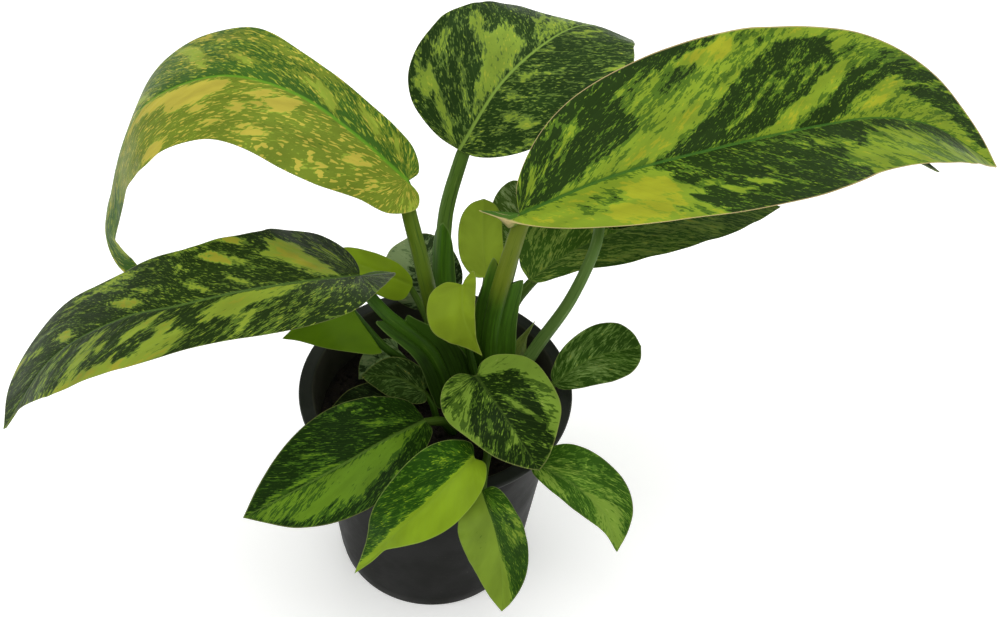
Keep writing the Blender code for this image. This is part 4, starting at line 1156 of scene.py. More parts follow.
class Wiring:
    """Builds one node material, with a short method for each kind of node it needs."""

    def __init__(self, name: str) -> None:
        """Makes a material with one Principled shader.

        Args:
            name: the material's name.
        """
        self.material = bpy.data.materials.new(name)
        self.material.use_nodes = True
        self.tree = self.material.node_tree
        self.shader = self.tree.nodes["Principled BSDF"]
        self.feed(self.shader, {"Metallic": 0.0})

    def feed(self, node: bpy.types.Node, values: Inputs) -> None:
        """Links outputs to a node's inputs, or sets the inputs to constants.

        Args:
            node: the node.
            values: the outputs or constants, by the input's number or name.
        """
        for key, value in values.items():
            if isinstance(value, Socket):
                self.tree.links.new(value, node.inputs[key])
            else:
                node.inputs[key].default_value = value

    def node(self, kind: str, values: Inputs, **settings: str) -> bpy.types.Node:
        """Adds a node.

        Args:
            kind: its type, without the words that all types start with.
            values: what its inputs get.
            settings: its own settings.

        Returns:
            The node.
        """
        node = self.tree.nodes.new("ShaderNode" + kind)
        for name, setting in settings.items():
            setattr(node, name, setting)
        self.feed(node, values)
        return node

    def field(self, name: str, output: str = "Vector") -> Socket:
        """Returns a painted field of the mesh; a field of one number has the output Fac."""
        return self.node("Attribute", {}, attribute_name=name).outputs[output]

    def object_place(self) -> Socket:
        """Returns the place on the object, in metres."""
        return self.node("TexCoord", {}).outputs["Object"]

    def math(self, operation: str, first: Number, second: Number = 0.0) -> Socket:
        """Returns the result of one piece of arithmetic."""
        return self.node("Math", {0: first, 1: second}, operation=operation).outputs[0]

    def plus(self, first: Number, second: Number) -> Socket:
        """Returns the sum of two values."""
        return self.math("ADD", first, second)

    def minus(self, first: Number, second: Number) -> Socket:
        """Returns the first value less the second."""
        return self.math("SUBTRACT", first, second)

    def times(self, first: Number, second: Number) -> Socket:
        """Returns the product of two values."""
        return self.math("MULTIPLY", first, second)

    def scaled(self, vector: Socket, scale: Triple, shift: Triple = (0.0, 0.0, 0.0)) -> Socket:
        """Returns a vector times a scale plus a shift, axis by axis."""
        values = {0: vector, 1: scale, 2: shift}
        return self.node("VectorMath", values, operation="MULTIPLY_ADD").outputs[0]

    def split(self, vector: Socket) -> list[Socket]:
        """Returns the three parts of a vector."""
        return list(self.node("SeparateXYZ", {0: vector}).outputs)

    def noise(self, vector: Socket, scale: float = 1.0, detail: float = 2.0, rough: float = 0.5,
              warp: float = 0.0) -> Socket:
        """Returns noise from about 0 to 1 at a vector, with finer layers of a strength, and warped."""
        values = {"Vector": vector, "Scale": scale, "Detail": detail, "Roughness": rough, "Distortion": warp}
        return self.node("TexNoise", values).outputs["Fac"]

    def stretched(self, vector: Socket, scale: Triple, detail: float, rough: float = 0.5) -> Socket:
        """Returns noise at a vector that is scaled first, axis by axis."""
        return self.noise(self.scaled(vector, scale), detail=detail, rough=rough)

    def ramp(self, value: Socket, stops: list[tuple[float, Triple]]) -> Socket:
        """Turns a value into a colour.

        Args:
            value: the value.
            stops: positions from 0 to 1, each with its sRGB colour.

        Returns:
            The colour, linear between the stops.
        """
        node = self.node("ValToRGB", {0: value})
        elements = node.color_ramp.elements
        while len(elements) < len(stops):
            elements.new(1.0)
        for element, (position, colour) in zip(elements, stops):
            element.position = position
            element.color = linear(colour)
        return node.outputs[0]

    def between(self, value: Socket, reach: Pair, result: Pair = (0.0, 1.0)) -> Socket:
        """Returns the value mapped smoothly from its reach to the result's, and held beyond."""
        values = dict(enumerate((value,) + reach + result))
        return self.node("MapRange", values, interpolation_type="SMOOTHSTEP").outputs[0]

    def mix(self, share: Number, first: Tint, second: Tint, blend: str = "MIX") -> Socket:
        """Returns two colours mixed, with a share of the second."""
        values = {0: share, 6: first, 7: second}
        return self.node("Mix", values, data_type="RGBA", blend_type=blend).outputs[2]

    def shaded(self, colour: Tint, shade: Socket) -> Socket:
        """Returns a colour made darker or lighter by a factor."""
        return self.mix(1.0, colour, shade, "MULTIPLY")

    def bump(self, height: Socket, relief: Pair) -> Socket:
        """Returns a normal for small relief, given how much of it shows and its height in metres."""
        return self.node("Bump", {"Strength": relief[0], "Distance": relief[1], "Height": height}).outputs[0]

    def finish(self, colour: Socket, roughness: Number, normal: Socket | None = None,
               specular: float = 0.5) -> bpy.types.Material:
        """Feeds the shader.

        Args:
            colour: the base colour.
            roughness: the roughness.
            normal: the normal, where there is relief.
            specular: the strength of the mirror-like part.

        Returns:
            The finished material.
        """
        values = {"Base Color": colour, "Roughness": roughness, "Specular IOR Level": specular}
        self.feed(self.shader, values if normal is None else values | {"Normal": normal})
        return self.material


# Leaves


@dataclass(frozen=True)
class Patch:
    """Flat places on one half of a blade: their share of the way to the margin, and the way that is left."""

    half: Half
    along: np.ndarray
    out: np.ndarray
    share: np.ndarray
    left_over: np.ndarray


@dataclass(frozen=True)
class Relief:
    """The fine relief of a blade in millimetres: the rib's groove, the veins and the waves of the margin."""

    groove: float = 0.45
    groove_half: float = 1.1
    vein: float = 0.16
    vein_gap: float = 9.0
    vein_gap_share: float = 0.28
    vein_mean: float = 0.7
    vein_rise: float = 3.0
    margin_fade: float = 3.0
    full_width: float = 25.0
    wave_share: float = 0.21
    wave_power: int = 3
    second_wave: float = 1.9
    second_share: float = 0.5
    leaf_phase: float = 1.7
    half_phase: float = 2.1
    calm_joint: float = 12.0
    calm_tip: float = 25.0


@dataclass(frozen=True)
class Fringe:
    """How the edges of the marks wander: cell sizes in millimetres, and the noise they are read from."""

    across: float = 5.0
    along: Pair = (15.0, 9.0)
    fractal: tuple[float, float, int] = (0.7, 2.1, 3)
    sway: float = 0.35
    soft: float = 2.6
    leaf_page: float = 3.7
    half_page: float = 50.0
    shifts: Pair = (0.0, 20.0)
    calm_rib: float = 5.0
    spindle: Pair = (2.4, 0.6)
    spindle_end: float = 0.3


@dataclass(frozen=True)
class BladeLook:
    """What the looks of all blades share: noise scales across and along the veins, ranges and strengths."""

    pages: Triple = (2.0, 5.0, 13.0)
    contrast: float = 4.2
    rough: float = 0.55
    warp: float = 0.3
    layer_shift: float = 3.0
    calming: Pair = (0.35, 0.75)
    speck_shift: Triple = (9.0, 4.0, 0.0)
    speck_soft: Pair = (0.1, 0.04)
    steps: tuple[float, ...] = (0.0, 0.20, 0.25, 0.47, 0.53)
    yellow_soft: Pair = (0.05, 0.03)
    rib_half: Pair = (1.0, 0.12)
    rib_least: float = 0.25
    rib_reach: Pair = (0.30, 0.95)
    edge_reach: Pair = (0.3, 1.2)
    gloss: Pair = (0.06, 0.10)
    cloud: Triple = (0.045, 0.045, 1.0)
    shade: Pair = (0.82, 1.16)
    line_gap: float = 4.5
    line_half: float = 0.07
    line: float = 0.08
    under: float = 0.4
    fine: Triple = (2.2, 0.9, 1.0)
    sheen: Triple = (0.12, 0.05, 1.0)
    relief: Pair = (0.35, 0.00025)
    specular: float = 0.04


@dataclass(frozen=True)
class StalkLook:
    """What the looks of all stalks share: noise scales round and along the stalk, ranges and strengths."""

    stripes: Triple = (0.9, 0.9, 0.012)
    flecks: Triple = (1.6, 1.6, 0.16)
    fleck_share: float = 0.25
    steps: tuple[float, ...] = (0.34, 0.46, 0.58, 0.70)
    foot_range: Pair = (0.36, 0.64)
    gloss: Pair = (0.05, 0.1)
    foot_from: float = 0.72
    foot_shade: Pair = (0.72, 1.45)
    edge: Pair = (0.1, 0.8)
    edge_share: float = 0.5
    relief: Pair = (0.4, 0.0004)
    specular: float = 0.10


@dataclass
class Leaf:
    """One leaf: a closed thin blade with relief, its stalk, and the wings of a big stalk's foot."""

    shape: LeafShape
    seed: int
    thickness: float = 0.8
    rib_share: float = 0.9
    spacing: float = 1.2
    row_share: float = 1.2
    rows: tuple[int, int] = (48, 300)
    columns: tuple[int, int] = (12, 50)
    margin_steps: int = 24
    fan_least: float = 22.0
    fan_share: float = 0.55
    crowding: float = 0.6
    sweep: float = 1.15
    ahead_share: float = 0.6
    keel_power: float = 0.7
    keel_share: float = 0.8
    keel_least: float = 0.6
    ends: Pair = (1.5, 6.0)
    thin_power: int = 5
    thin_share: float = 0.7
    stalk_foot: float = 1.12
    stalk_head: float = 0.80
    stalk_end: float = 0.42
    stalk_reach: float = 12.0
    stalk_share: float = 0.15
    stalk_swell: float = 0.02
    stalk_slow: float = 6.0
    stalk_sides: int = 28
    stalk_steps: int = 14
    sunk: float = 0.8
    eased: int = 6
    wing_knots: int = 9
    relief: Relief = field(default_factory=Relief)
    fringe: Fringe = field(default_factory=Fringe)
    look: BladeLook = field(default_factory=BladeLook)
    stalk_look: StalkLook = field(default_factory=StalkLook)

    def __post_init__(self) -> None:
        """Sets out the rib and an empty skin."""
        shape = self.shape
        self.widths = tuple(max(out for _, out in margin) for margin in (shape.left, shape.right))
        self.rib = Rib(shape.rib, shape.facing, shape.roll, (shape.lift_left, shape.lift_right),
                       (shape.curl_left, shape.curl_right), self.widths)
        self.skin = Skin()

    def build(self) -> None:
        """Builds the whole leaf and hands it over in place of its solid."""
        shape = self.shape
        self._add_blade(self.rib, (shape.left, shape.right), shape.radius * self.rib_share, Surface.BLADE)
        path = self._add_stalk()
        if shape.wings:
            self._add_wings(path, shape.wings)
        piece = self.skin.piece("shown_" + shape.node, [self._blade_material(), self._stalk_material()])
        hand_over(piece, shape.node)

    def _margin(self, points: Outline, length: float, rows: int) -> np.ndarray:
        """Returns a flat margin from the joint to the tip as rows + 1 even points."""
        return evenly(smooth_path(((0.0, 0.0),) + tuple(points) + ((length, 0.0),), self.margin_steps),
                      rows + 1)[0]

    def _feet(self, margins: list[np.ndarray], length: float, rows: int) -> np.ndarray:
        """Finds where each row of the blade's mesh leaves the rib.

        Args:
            margins: the flat margins of both halves.
            length: the rib's length.
            rows: how many rows the mesh has.

        Returns:
            Millimetres along the rib, always rising.
        """
        backward, evened, window = 0.7, 0.05, 9
        reach = np.mean([margin[:, 0] - backward * margin[:, 1] for margin in margins], axis=0)
        rising = np.maximum.accumulate(np.clip(reach, 0.0, length))
        side = window // 2
        rising[side:-side] = np.convolve(rising, np.ones(window) / window, "valid")
        rising = (1.0 - evened) * rising + evened * length * np.arange(rows + 1) / rows
        return np.clip(rising - rising[0], 0.0, length) * length / (rising[-1] - rising[0])

    def _vein(self, along: np.ndarray, out: np.ndarray, half: Half) -> tuple[np.ndarray, np.ndarray]:
        """Finds the vein that each flat place is on; round the joint the veins fan out.

        Args:
            along: millimetres along the rib.
            out: millimetres out from it.
            half: the half that they lie on.

        Returns:
            Where the vein leaves the rib, in millimetres along it, and how far out along the vein.
        """
        slant = self.shape.slant[half.value]
        stretch = math.hypot(1.0, slant)
        foot = along - slant * out
        fan = foot < 0
        angle = np.arctan2(out, along) - math.atan2(1.0, slant)
        spacing = max(self.fan_least, self.fan_share * self.widths[half.value] * stretch)
        return np.where(fan, -angle * spacing, foot), np.where(fan, np.hypot(along, out), out * stretch)

    def _raised(self, patch: Patch) -> np.ndarray:
        """Finds how far the upper side stands off the plain blade.

        Args:
            patch: the flat places.

        Returns:
            Millimetres along the normal, from the rib's groove, the veins and the margin's waves.
        """
        relief = self.relief
        length = self.rib.length
        wide = self.widths[patch.half.value]
        vein, _ = self._vein(patch.along, patch.out, patch.half)
        groove = -relief.groove * np.exp(-(patch.out / relief.groove_half) ** 2)
        groove = groove * np.sqrt(np.clip(1.0 - patch.along / length, 0.0, 1.0))
        fade = np.clip(patch.out / relief.vein_rise, 0.0, 1.0)
        fade = fade * np.clip((1.0 - patch.share) * relief.margin_fade, 0.0, 1.0)
        period = min(relief.vein_gap, wide * relief.vein_gap_share)
        ridge = relief.vein * (np.sqrt(np.abs(np.sin(math.pi * vein / period))) - relief.vein_mean) * fade
        phase = self.seed * relief.leaf_phase + (0.0 if patch.half is Half.LEFT else relief.half_phase)
        turn = math.tau * patch.along / (length * relief.wave_share)
        wave = np.sin(turn + phase)
        wave = wave + relief.second_share * np.sin(turn * relief.second_wave + 2 * phase)
        ends = np.clip(patch.along / relief.calm_joint, 0.0, 1.0)
        ends = ends * np.clip((length - patch.along) / relief.calm_tip, 0.0, 1.0)
        ridge = ridge * min(1.0, wide / relief.full_width)
        return groove + ridge + self.shape.wave * wave * patch.share ** relief.wave_power * ends

    def _wander(self, patch: Patch) -> np.ndarray:
        """Finds how far the marks' edges wander at each place.

        Args:
            patch: the flat places.

        Returns:
            Two millimetres for each place: along its vein, and across it.
        """
        fringe = self.fringe
        vein, far = self._vein(patch.along, patch.out, patch.half)
        page = self.seed * fringe.leaf_page + (0.0 if patch.half is Half.LEFT else fringe.half_page)
        wander = []
        for across, along in zip(vein.ravel() / fringe.across, far.ravel()):
            wander.append([noise.fractal(Vector((across, along / cell, page + shift)), *fringe.fractal)
                           for cell, shift in zip(fringe.along, fringe.shifts)])
        reach = self.shape.finish.fringe * np.clip(np.abs(patch.out.ravel()) / fringe.calm_rib, 0.0, 1.0)
        return np.array(wander) * reach[:, None]

    def _tone(self, patch: Patch) -> np.ndarray:
        """Finds the variegation's tone, from the base tone and the marks over it.

        Args:
            patch: the flat places.

        Returns:
            The tone at each of them.
        """
        fringe = self.fringe
        full, blunt = fringe.spindle
        slant = self.shape.slant[patch.half.value]
        run, sway = (self._wander(patch) / math.hypot(1.0, slant)).T
        sway = fringe.sway * sway
        spots = np.stack((patch.along.ravel() + run * slant - sway,
                          (patch.out.ravel() + run + sway * slant) * patch.half.sign), axis=1)
        tone = np.full(len(spots), self.shape.base[patch.half.value])
        for mark in self.shape.marks:
            if not mark.touches(patch.half):
                continue
            line = np.array(mark.points, float)
            if mark.width:
                distance, where = line_distance(spots, line)
                wide = mark.width * (1.0 - np.abs(2.0 * where - 1.0) ** full) ** blunt
                end = fringe.spindle_end * mark.width
                depth = np.where(where * (1.0 - where) > 0, wide, end) - distance
            else:
                distance, _ = line_distance(spots, np.vstack((line, line[:1])))
                depth = np.where(inside(spots, line), distance, -distance)
            weight = np.clip(depth / fringe.soft + 0.5, 0.0, 1.0)
            weight = weight * weight * (3.0 - 2.0 * weight)
            tone = tone * (1.0 - weight) + mark.tone * weight
        return tone.reshape(patch.along.shape)

    def _painted(self, patch: Patch, length: float, surface: Surface) -> dict[str, np.ndarray]:
        """Works out the painted fields of the upper side.

        Args:
            patch: the flat places.
            length: the rib's length.
            surface: what they belong to; only a leaf's blade is variegated.

        Returns:
            The fields by name.
        """
        shape = patch.along.shape
        vein, far = self._vein(patch.along, patch.out, patch.half)
        first, by_half, by_leaf = self.look.pages
        page = np.full(shape, first + by_half * patch.half.sign + by_leaf * self.seed)
        tone = self._tone(patch) if surface is Surface.BLADE else np.zeros(shape)
        return {
            "vein": np.stack((vein, far, page), axis=-1),
            "place": np.stack((patch.along / length, patch.out, np.zeros(shape)), axis=-1),
            "edge": patch.left_over[..., None],
            "tone": tone[..., None],
            "grain": np.stack((patch.out * patch.half.sign, np.full(shape, self.seed), patch.along), -1),
        }

    def _patch(self, half: Half, edge: np.ndarray, foot: np.ndarray, columns: int) -> Patch:
        """Lays the rows of one half out flat.

        Args:
            half: the half.
            edge: the margin's point of each row.
            foot: where each row leaves the rib.
            columns: how many columns there are.

        Returns:
            The flat places, closer together by the rib and by the margin.
        """
        steps = np.arange(columns + 1) / columns
        share = (steps - self.crowding * np.sin(math.tau * steps) / math.tau)[None, 1:]
        ahead, wide = edge[:, 0:1] - foot[:, None], edge[:, 1:2]
        out = wide * share
        rim = np.broadcast_to(share, out.shape)
        along = foot[:, None] + ahead * share ** self.sweep
        return Patch(half, along, out, rim, (1.0 - rim) * np.hypot(wide, ahead * self.ahead_share))

    def _add_blade(self, rib: Rib, outlines: tuple[Outline, Outline], rib_depth: float,
                   surface: Surface) -> None:
        """Adds a closed thin blade.

        Args:
            rib: the line that carries it.
            outlines: the flat margins of its left and right half.
            rib_depth: how thick it is under the rib, at the joint.
            surface: the material slot that it takes.
        """
        length = rib.length
        wide = max(out for outline in outlines for _, out in outline)
        rows = int(np.clip(length * self.row_share / self.spacing, *self.rows))
        columns = int(np.clip(wide / self.spacing, *self.columns))
        margins = [self._margin(outline, length, rows) for outline in outlines]
        feet = self._feet(margins, length, rows)
        inner = slice(1, rows)
        fade = np.clip(1.0 - feet / length, 0.0, 1.0) ** self.keel_power
        keel = np.maximum((rib_depth - self.thickness) * fade, 0.0)
        keel_half = max(rib_depth * self.keel_share, self.keel_least)

        zero = np.zeros(len(feet))
        spine = Patch(Half.LEFT, feet, zero, zero, np.where((feet > 0) & (feet < length), wide, 0.0))
        place, normal = rib.carry(feet, zero, Half.LEFT)
        raised = self._raised(spine) if surface is Surface.BLADE else np.zeros(len(feet))
        raised[[0, -1]] = 0.0
        thinned = np.clip(np.minimum(feet / self.ends[0], (length - feet) / self.ends[1]), 0.0, 1.0)
        depth = (self.thickness + keel) * thinned
        tops = [place + normal * raised[:, None]]
        lows = [(tops[0] - normal * depth[:, None])[inner]]
        painted = [self._painted(spine, length, surface)]
        under = [underside(painted[0], inner)]
        for half, margin in zip(Half, margins):
            patch = self._patch(half, margin[inner], feet[inner], columns)
            place, normal = rib.carry(patch.along, patch.out, half)
            if surface is Surface.BLADE:
                place = place + normal * self._raised(patch)[..., None]
            depth = self.thickness * (1.0 - patch.share ** self.thin_power * self.thin_share)
            depth = depth + np.interp(patch.along, feet, keel) * np.exp(-(patch.out / keel_half) ** 2)
            low = (place - normal * depth[..., None])[:, :-1]
            tops.append(place.reshape(-1, 3))
            lows.append(low.reshape(-1, 3))
            painted.append(self._painted(patch, length, surface))
            under.append(underside(painted[-1], (slice(None), slice(None, -1))))
        fields = {name: np.vstack([part[name].reshape(-1, width) for part in painted + under])
                  for name, width in Skin.FIELDS.items()}
        self.skin.add(np.vstack(tops + lows), blade_faces(rows, columns), surface, **fields)

    def _stalk_path(self) -> tuple[np.ndarray, np.ndarray]:
        """Sets out the stalk, from its foot to its end under the rib.

        Returns:
            The points of its middle line, and its radius at each.
        """
        shape, rib, steps = self.shape, self.rib, self.stalk_steps
        reach = min(self.stalk_reach, rib.length * self.stalk_share)
        share = np.linspace(0.0, reach, steps + 1) / rib.length
        taper = np.linspace(self.stalk_head, self.stalk_end, steps + 1)
        deep = (shape.radius * taper + self.sunk)[:, None]
        under = rib.read(rib.points, share) - rib.read(rib.normal, share) * deep
        free = smooth_path(tuple(shape.stalk) + (tuple(under[0]),), steps)
        path = np.vstack((free, under[1:]))
        bent = np.arange(1, len(path) - 1)[:, None] > len(free) - steps
        for _ in range(self.eased):
            path[1:-1] = np.where(bent, (path[:-2] + 2.0 * path[1:-1] + path[2:]) / 4.0, path[1:-1])
        risen = lengths_along(free) / lengths_along(free)[-1]
        swell = np.concatenate((self.stalk_foot + (self.stalk_head - self.stalk_foot) * risen, taper[1:]))
        slow = 1.0 + (path[:, 2] - STRAIGHT_TO) * self.stalk_swell
        swell = np.where(path[:, 2] < STRAIGHT_TO + self.stalk_slow, np.minimum(swell, slow), swell)
        in_soil = shape.stalk[0][2] <= STRAIGHT_TO
        foot = shape.stalk[0][:2] + (FOOT_LEVEL,) if in_soil else CROWN_AT + (YOUNG_FOOT,)
        return np.vstack((foot, path)), shape.radius * np.concatenate(([1.0], swell))

    def _add_stalk(self) -> np.ndarray:
        """Adds the stalk as a closed tube.

        Returns:
            Its middle line.
        """
        path, radii = self._stalk_path()
        add_tube(self.skin, path, radii, self.stalk_sides, self.seed, Surface.STALK)
        return path

    def _add_wings(self, path: np.ndarray, wings: Wings) -> None:
        """Adds the thin wings that run along the lower part of a stalk.

        Args:
            path: the stalk's middle line.
            wings: their sizes.
        """
        steps = 80
        even, _ = evenly(path, steps + 1)
        knots = np.linspace(wings.start * steps, wings.end * steps, self.wing_knots)
        ahead = spread(wings.forward, np.linspace(0.0, 1.0, self.wing_knots))
        spine = even[knots.round().astype(int)] + unit(np.array(wings.facing, float)) * ahead[:, None]
        rib = Rib(tuple(map(tuple, spine)), wings.facing, (0.0,), ((wings.lift,), (wings.lift,)),
                  (wings.curl, wings.curl), (wings.left, wings.right))
        sides = ((wings.left, wings.left_flap), (wings.right, wings.right_flap))
        outlines = tuple(tuple((rib.length * far, width * wide) for far, wide in flap.value)
                         for width, flap in sides)
        self._add_blade(rib, outlines, self.thickness, Surface.STALK)

    def _variegation(self, wiring: Wiring, vein: Socket) -> Socket:
        """Wires the greens of the blade.

        Args:
            wiring: the blade's material.
            vein: the place along and across the veins.

        Returns:
            The colour, from the painted tone broken up by noise that follows the veins.
        """
        finish, look = self.shape.finish, self.look
        painted = wiring.field("tone", "Fac")
        broken = 0.0
        layers = ((Noise.BAND, finish.band, 2.0), (Noise.STREAK, finish.streak, 2.0),
                  (Noise.FLECK, finish.fleck, 1.0))
        for kind, strength, detail in layers:
            across, along = kind.value
            shift = (across * look.layer_shift, 0.0, 0.0)
            cells = wiring.scaled(vein, (1.0 / across, 1.0 / along, 1.0), shift)
            grain = wiring.minus(wiring.noise(cells, detail=detail, rough=look.rough, warp=look.warp), 0.5)
            broken = wiring.plus(broken, wiring.times(grain, look.contrast * strength))
        calm = wiring.between(painted, look.calming, (1.0, finish.calm))
        tone = wiring.plus(painted, wiring.times(broken, calm))
        across, along = finish.speck
        cells = wiring.scaled(vein, (1.0 / across, 1.0 / along, 1.0), look.speck_shift)
        until, start, yellow = finish.specks_until, finish.specks_from, finish.yellow_from
        room = wiring.between(painted, (until, until + look.speck_soft[0]), (finish.specks, 0.0))
        speck = wiring.between(wiring.noise(cells, detail=1.0), (start, start + look.speck_soft[1]))
        steps = look.steps + (yellow - look.yellow_soft[0], yellow + look.yellow_soft[1], 1.0)
        greens = (finish.dark, finish.dark, finish.mid, finish.mid, finish.lime, finish.lime,
                  finish.yellow, finish.yellow)
        return wiring.ramp(wiring.plus(tone, wiring.times(speck, room)), list(zip(steps, greens)))

    def _blade_material(self) -> bpy.types.Material:
        """Wires the blade's look.

        Returns:
            The material: variegation that follows the veins, rib, margin and underside.
        """
        finish, look = self.shape.finish, self.look
        wiring = Wiring("blade_" + self.shape.node)
        vein = wiring.field("vein")
        along, out, under = wiring.split(wiring.field("place"))
        colour = self._variegation(wiring, vein)
        cloud = wiring.stretched(vein, look.cloud, 3.0)
        colour = wiring.shaded(colour, wiring.between(cloud, (0.25, 0.75), look.shade))
        step = wiring.math("FRACT", wiring.times(wiring.split(vein)[0], 1.0 / look.line_gap))
        crossing = wiring.math("ABSOLUTE", wiring.minus(step, 0.5))
        line = wiring.times(wiring.between(crossing, (0.0, look.line_half), (1.0, 0.0)), look.line)
        colour = wiring.mix(line, colour, linear(finish.rib))
        rib_half = wiring.minus(look.rib_half[0] + self.shape.radius * look.rib_half[1], along)
        near_rib = wiring.math("DIVIDE", out, wiring.math("MAXIMUM", rib_half, look.rib_least))
        rib_line = wiring.between(near_rib, look.rib_reach, (finish.rib_line, 0.0))
        colour = wiring.mix(rib_line, colour, linear(finish.rib))
        reach = (look.edge_reach[0] * finish.edge_width, look.edge_reach[1] * finish.edge_width)
        edge = wiring.between(wiring.field("edge", "Fac"), reach, (finish.edge_line, 0.0))
        colour = wiring.mix(edge, colour, linear(finish.edge))
        paler = wiring.mix(look.under, colour, linear(finish.under))
        colour = wiring.mix(wiring.between(under, (0.4, 0.6)), colour, paler)
        sheen = wiring.stretched(vein, look.sheen, 3.0)
        gloss = (finish.roughness - look.gloss[0], finish.roughness + look.gloss[1])
        height = wiring.plus(wiring.times(wiring.stretched(vein, look.fine, 4.0), 0.5), line)
        normal = wiring.bump(height, look.relief)
        return wiring.finish(colour, wiring.between(sheen, NOISE_CORE, gloss), normal, look.specular)

    def _stalk_material(self) -> bpy.types.Material:
        """Wires the stalk's look.

        Returns:
            The material: fine lengthwise stripes and flecks in three greens, and a greener foot.
        """
        finish, look = self.shape.stalk_finish, self.stalk_look
        wiring = Wiring("stalk_" + self.shape.node)
        grain = wiring.field("grain")
        stripes = wiring.stretched(grain, look.stripes, 4.0, 0.65)
        flecks = wiring.stretched(grain, look.flecks, 2.0)
        few = wiring.times(flecks, look.fleck_share)
        value = wiring.plus(wiring.times(stripes, 1.0 - look.fleck_share), few)
        greens = (finish.dark, finish.main, finish.main, finish.light)
        colour = wiring.ramp(value, list(zip(look.steps, greens)))
        reach = (look.foot_from * finish.reach, finish.reach)
        low = wiring.between(wiring.split(grain)[2], reach, (1.0, 0.0))
        foot = wiring.shaded(linear(finish.foot), wiring.between(value, look.foot_range, look.foot_shade))
        colour = wiring.mix(low, colour, foot)
        edge = wiring.between(wiring.field("edge", "Fac"), look.edge, (look.edge_share, 0.0))
        winged = wiring.between(wiring.split(wiring.field("place"))[0], (0.0, 0.001))
        colour = wiring.mix(wiring.times(edge, winged), colour, linear(finish.wing_edge))
        gloss = (finish.roughness - look.gloss[0], finish.roughness + look.gloss[1])
        roughness = wiring.between(flecks, NOISE_CORE, gloss)
        return wiring.finish(colour, roughness, wiring.bump(stripes, look.relief), look.specular)


def underside(painted: dict[str, np.ndarray], kept: slice | tuple[slice, slice]) -> dict[str, np.ndarray]:
    """Copies the fields of the upper side for the underside.

    Args:
        painted: the upper side's fields.
        kept: the vertices that the underside doesn't share with it.

    Returns:
        The underside's fields, marked as such.
    """
    fields = {name: values[kept].copy() for name, values in painted.items()}
    fields["place"][..., 2] = 1.0
    return fields


def blade_faces(rows: int, columns: int) -> list[Face]:
    """Joins the vertices of a blade's closed mesh, whose two sides share the margin and both ends.

    The spine's vertices come first, then the upper side of each half, the spine's underside, and the
    underside of each half.

    Args:
        rows: how many rows it has from joint to tip.
        columns: how many columns each half has.

    Returns:
        The faces, outward.
    """
    inner = rows - 1
    low_spine = rows + 1 + 2 * inner * columns
    faces = []
    for half in Half:
        top = np.tile(np.arange(rows + 1)[:, None], columns + 1)
        first = rows + 1 + half.value * inner * columns
        top[1:-1, 1:] = first + np.arange(inner * columns).reshape(inner, columns)
        low = top.copy()
        low[1:-1, 0] = low_spine + np.arange(inner)
        first = low_spine + inner + half.value * inner * (columns - 1)
        low[1:-1, 1:-1] = first + np.arange(inner * (columns - 1)).reshape(inner, columns - 1)
        sides = ((top.tolist(), half is Half.RIGHT), (low.tolist(), half is Half.LEFT))
        for row in range(rows):
            for column in range(columns):
                for side, turned in sides:
                    near, far = side[row], side[row + 1]
                    corners = (near[column], far[column], far[column + 1], near[column + 1])
                    face = tuple(dict.fromkeys(corners))
                    faces.append(face[::-1] if turned else face)
    return faces


# Pot, soil, crown, spear


@dataclass(frozen=True)
class PlasticFinish:
    """The look of the moulded pot: its colours as sRGB, with painted shade and light, and its noise in cells
    to the metre.
    """

    # painted shade: the wall's black plastic, painted darker to take back the light that the pale floor
    # throws on it
    body: Triple = (9, 10, 7)
    # painted light: the same black plastic, lighter on the rim's top band
    rim: Triple = (42, 45, 40)
    # painted light: the same black plastic, lighter inside the pot
    inside: Triple = (62, 62, 52)
    dust: Triple = (74, 70, 62)
    dust_share: float = 0.55
    roughness: float = 0.45
    cloud: float = 38.0
    dusty: float = 26.0
    shade: Pair = (0.82, 1.22)
    specks: float = 900.0
    speck_reach: Pair = (0.66, 0.74)
    dusty_reach: Pair = (0.48, 0.72)
    scratches: Triple = (160.0, 160.0, 1500.0)
    scratch_gloss: float = 0.06
    scratch_height: float = 0.4
    gloss: Pair = (0.06, 0.08)
    grain: float = 1600.0
    relief: Pair = (0.25, 0.00012)
    specular: float = 0.07


